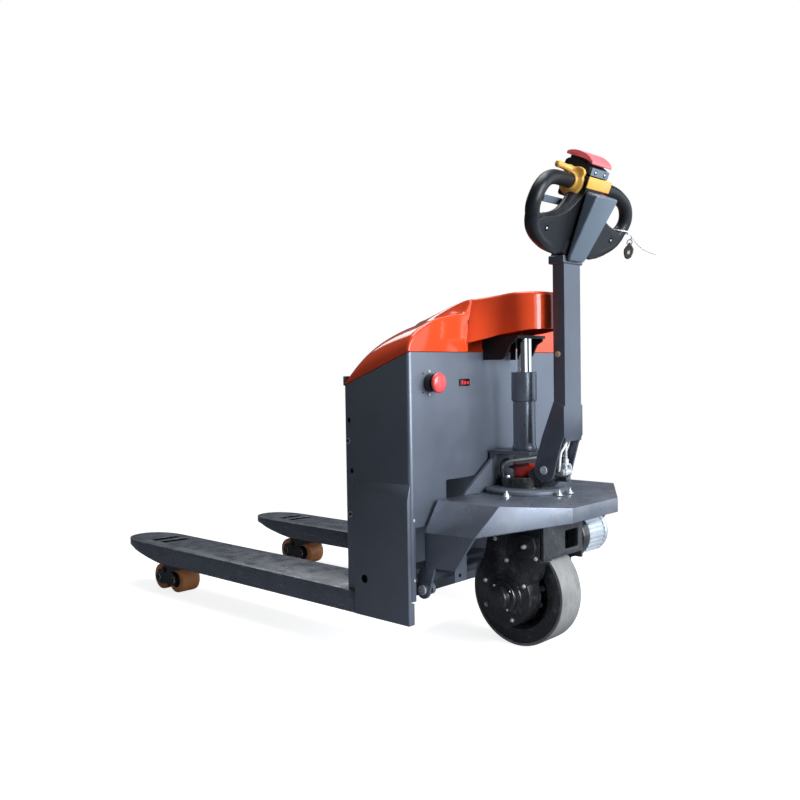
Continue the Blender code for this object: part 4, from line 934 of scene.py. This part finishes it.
# ---- fasteners and trim on the chassis
bm = bmesh.new()
for x, y in ((0.1055, -0.111), (0.1055, 0.111), (0.1955, -0.0235), (0.1955, 0.0235)):
    hex_bolt(bm, P(x, y, 0.3782), Z, 0.0062, 0.007, 1.6)
    disc(bm, P(x, y, 0.385), Z, 0.003, 0.0062, 16)
piece("apron_bolts", bm, zinc, "chassis")
plate = drawn(prism, [(-0.202, 0.174), (-0.156, 0.174), (-0.156, 0.37), (-0.202, 0.37)],
              lambda a, b, c: P(c, a, b), 0.016, 0.02)
settle(rounded("stay_plate", plate, paint, 0.0012, 2), "chassis")
# a black disc on the stay plate: painted shade standing for a hole
hole = drawn(disc, P(0.0201, -0.183, 0.19), X, 0.0045, 0.0003, 20)
piece("stay_plate_hole_painted_shade", hole, painted_hole_shade, "chassis")
# a black sheet beside the mast bracket: painted shade for the dark cavity behind it
shade_sheet = drawn(block, P(0.0204, 0.04, 0.386), P(0.0224, 0.148, 0.469))
piece("mast_cavity_painted_shade", shade_sheet, bracket_black, "chassis", (), 35.0)
bolt = drawn(hex_bolt, P(STEER_X + 0.052 * cos(radians(-108)), 0.052 * sin(radians(-108)), 0.4152), Z, 0.0042, 0.005)
piece("turntable_bolt", bolt, zinc, "drive_unit")


# ---- leads
def lead(name, look, body, thick, route):
    tube = drawn(sweep, smooth_route([P(*place) for place in route], 5), thick, 12)
    piece(name, tube, look, body, (), 40.0)


def cap_lead(name, look, thick, route):
    """A lead round the turntable's cap, through (radius, angle, height) places about the steering axis."""
    lead(name, look, "drive_unit", thick,
         [(STEER_X + radius * cos(radians(angle)), radius * sin(radians(angle)), height)
          for radius, angle, height in route])


lead("tiller_lead", cable_white, "tiller", 0.003,
     [(0.21, -0.006, 0.6), (0.2105, -0.008, 0.545), (0.211, -0.011, 0.512), (0.208, -0.018, 0.494),
      (0.204, -0.026, 0.48), (0.203, -0.0295, 0.464), (0.201, -0.029, 0.448), (0.196, -0.024, 0.436)])
cap_lead("cap_lead_pale", pale_lead, 0.0028,
         [(0.052, 70, 0.452), (0.037, 15, 0.4612), (0.0375, -40, 0.4612), (0.04, -80, 0.458), (0.045, -116, 0.4525),
          (0.052, -136, 0.444), (0.057, -145, 0.432), (0.058, -146, 0.42), (0.054, -140, 0.4165)])
cap_lead("cap_lead_pale_low", pale_lead, 0.002,
         [(0.048, -158, 0.446), (0.056, -152, 0.44), (0.059, -149, 0.43), (0.058, -147, 0.4165)])
cap_lead("cap_lead_black", cable_black, 0.0028,
         [(0.04, -150, 0.456), (0.052, -143, 0.454), (0.0585, -140, 0.444), (0.059, -137, 0.43),
          (0.057, -134, 0.4165)])
cap_lead("cap_lead_black_low", cable_black, 0.0026,
         [(0.041, -126, 0.456), (0.052, -130, 0.452), (0.0585, -131, 0.444), (0.059, -130, 0.43),
          (0.056, -128, 0.4165)])


# ---- floor, light, world, camera
def layered(tree, factor, first, second):
    """A shader that goes from the first to the second by a factor."""
    node = tree.nodes.new("ShaderNodeMixShader")
    for socket, output in zip(node.inputs, (factor, first, second)):
        tree.links.new(output, socket)
    return node.outputs["Shader"]


def make_floor():
    """A pale floor that fades to white away from the object, and is darker to all but the camera."""
    look, tree, shader = principled("pale_floor")
    shade = ramp(tree, noise(tree, 0.6, 2.0), [(0.3, (0.46,)), (0.7, (0.5,))])
    tree.links.new(shade, shader.inputs["Base Color"])
    preset(shader, {"Roughness": 0.9, "Specular IOR Level": 0.1, "Emission Color": (1.0, 1.0, 1.0, 1.0),
                    "Emission Strength": 0.84})
    dim = tree.nodes.new("ShaderNodeBsdfDiffuse")
    preset(dim, {"Color": (0.2, 0.21, 0.23, 1.0)})
    ray = tree.nodes.new("ShaderNodeLightPath")
    spot = tree.nodes.new("ShaderNodeTexCoord")
    distance = tree.nodes.new("ShaderNodeVectorMath")
    distance.operation = "LENGTH"
    tree.links.new(spot.outputs["Object"], distance.inputs[0])
    far = tree.nodes.new("ShaderNodeMapRange")
    preset(far, {"From Min": 1.0, "From Max": 1.9})
    tree.links.new(distance.outputs["Value"], far.inputs["Value"])
    white = tree.nodes.new("ShaderNodeEmission")
    faded = layered(tree, far.outputs["Result"], shader.outputs["BSDF"], white.outputs["Emission"])
    seen = layered(tree, ray.outputs["Is Camera Ray"], dim.outputs["BSDF"], faded)
    tree.links.new(seen, tree.nodes["Material Output"].inputs["Surface"])
    new_object("floor", drawn(block, (-14.0, -14.0, -0.02), (14.0, 14.0, -0.0008)), look)


make_floor()


def area_light(name, place, target, size, power, colour=(1, 1, 1)):
    data = bpy.data.lights.new(name, "AREA")
    data.shape = "RECTANGLE"
    data.size, data.size_y = size
    data.energy = power
    data.color = colour
    lamp = bpy.data.objects.new(name, data)
    scene.collection.objects.link(lamp)
    lamp.location = place
    lamp.rotation_euler = (Vector(target) - Vector(place)).to_track_quat("-Z", "Y").to_euler()
    return lamp


area_light("operator_side_softbox", (4.0, 0.15, 1.7), (0.2, 0, 0.4), (2.4, 2.2), 200.0, (0.9, 0.95, 1.0))
area_light("mirror_softbox", (2.7, 2.6, 1.1), (0.3, 0, 0.55), (3.6, 3.0), 52.0, (0.78, 0.89, 1.0))
area_light("near_softbox", (4.1, -0.8, 1.0), (0.3, 0, 0.5), (2.0, 2.2), 48.0, (0.84, 0.92, 1.0))
area_light("overhead_softbox", (0.2, 0.4, 4.2), (0.1, 0, 0.3), (3.4, 2.4), 140.0)
rim = area_light("far_side_softbox", (-2.9, 2.5, 2.9), (0, 0, 0.6), (2.6, 0.9), 20.0)
rim.visible_camera = False
area_light("left_fill", (-0.8, -4.4, 2.6), (0, 0, 0.5), (2.4, 1.4), 1.5, (0.96, 0.98, 1.0))


def make_world():
    """White to the camera, and a faint cool light to everything else."""
    world = bpy.data.worlds.new("studio")
    scene.world = world
    world.use_nodes = True
    tree = world.node_tree
    tree.nodes.clear()
    out = tree.nodes.new("ShaderNodeOutputWorld")
    seen = tree.nodes.new("ShaderNodeBackground")
    preset(seen, {"Color": (1.0, 1.0, 1.0, 1.0), "Strength": 1.0})
    lit = tree.nodes.new("ShaderNodeBackground")
    preset(lit, {"Color": (0.86, 0.92, 1.0, 1.0), "Strength": 0.09})
    path = tree.nodes.new("ShaderNodeLightPath")
    shown = layered(tree, path.outputs["Is Camera Ray"], lit.outputs["Background"], seen.outputs["Background"])
    tree.links.new(shown, out.inputs["Surface"])


make_world()
scene.view_settings.view_transform = "Standard"

place = Vector((1.8048, -1.792, 0.68))
azimuth, elevation, roll = radians(42.88), radians(1.94), radians(-0.9)
back = Vector((sin(azimuth) * cos(elevation), -cos(azimuth) * cos(elevation), sin(elevation)))
right = (-back).cross(Vector((0, 0, 1))).normalized()
up = right.cross(-back)
across = cos(roll) * right + sin(roll) * up
upward = -sin(roll) * right + cos(roll) * up
lens = bpy.data.cameras.new("camera")
lens.lens = 39.4
lens.sensor_width = 36.0
camera = bpy.data.objects.new("camera", lens)
scene.collection.objects.link(camera)
camera.matrix_world = Matrix((
    (across.x, upward.x, back.x, place.x),
    (across.y, upward.y, back.y, place.y),
    (across.z, upward.z, back.z, place.z),
    (0, 0, 0, 1),
))
scene.camera = camera

bpy.context.view_layer.update()
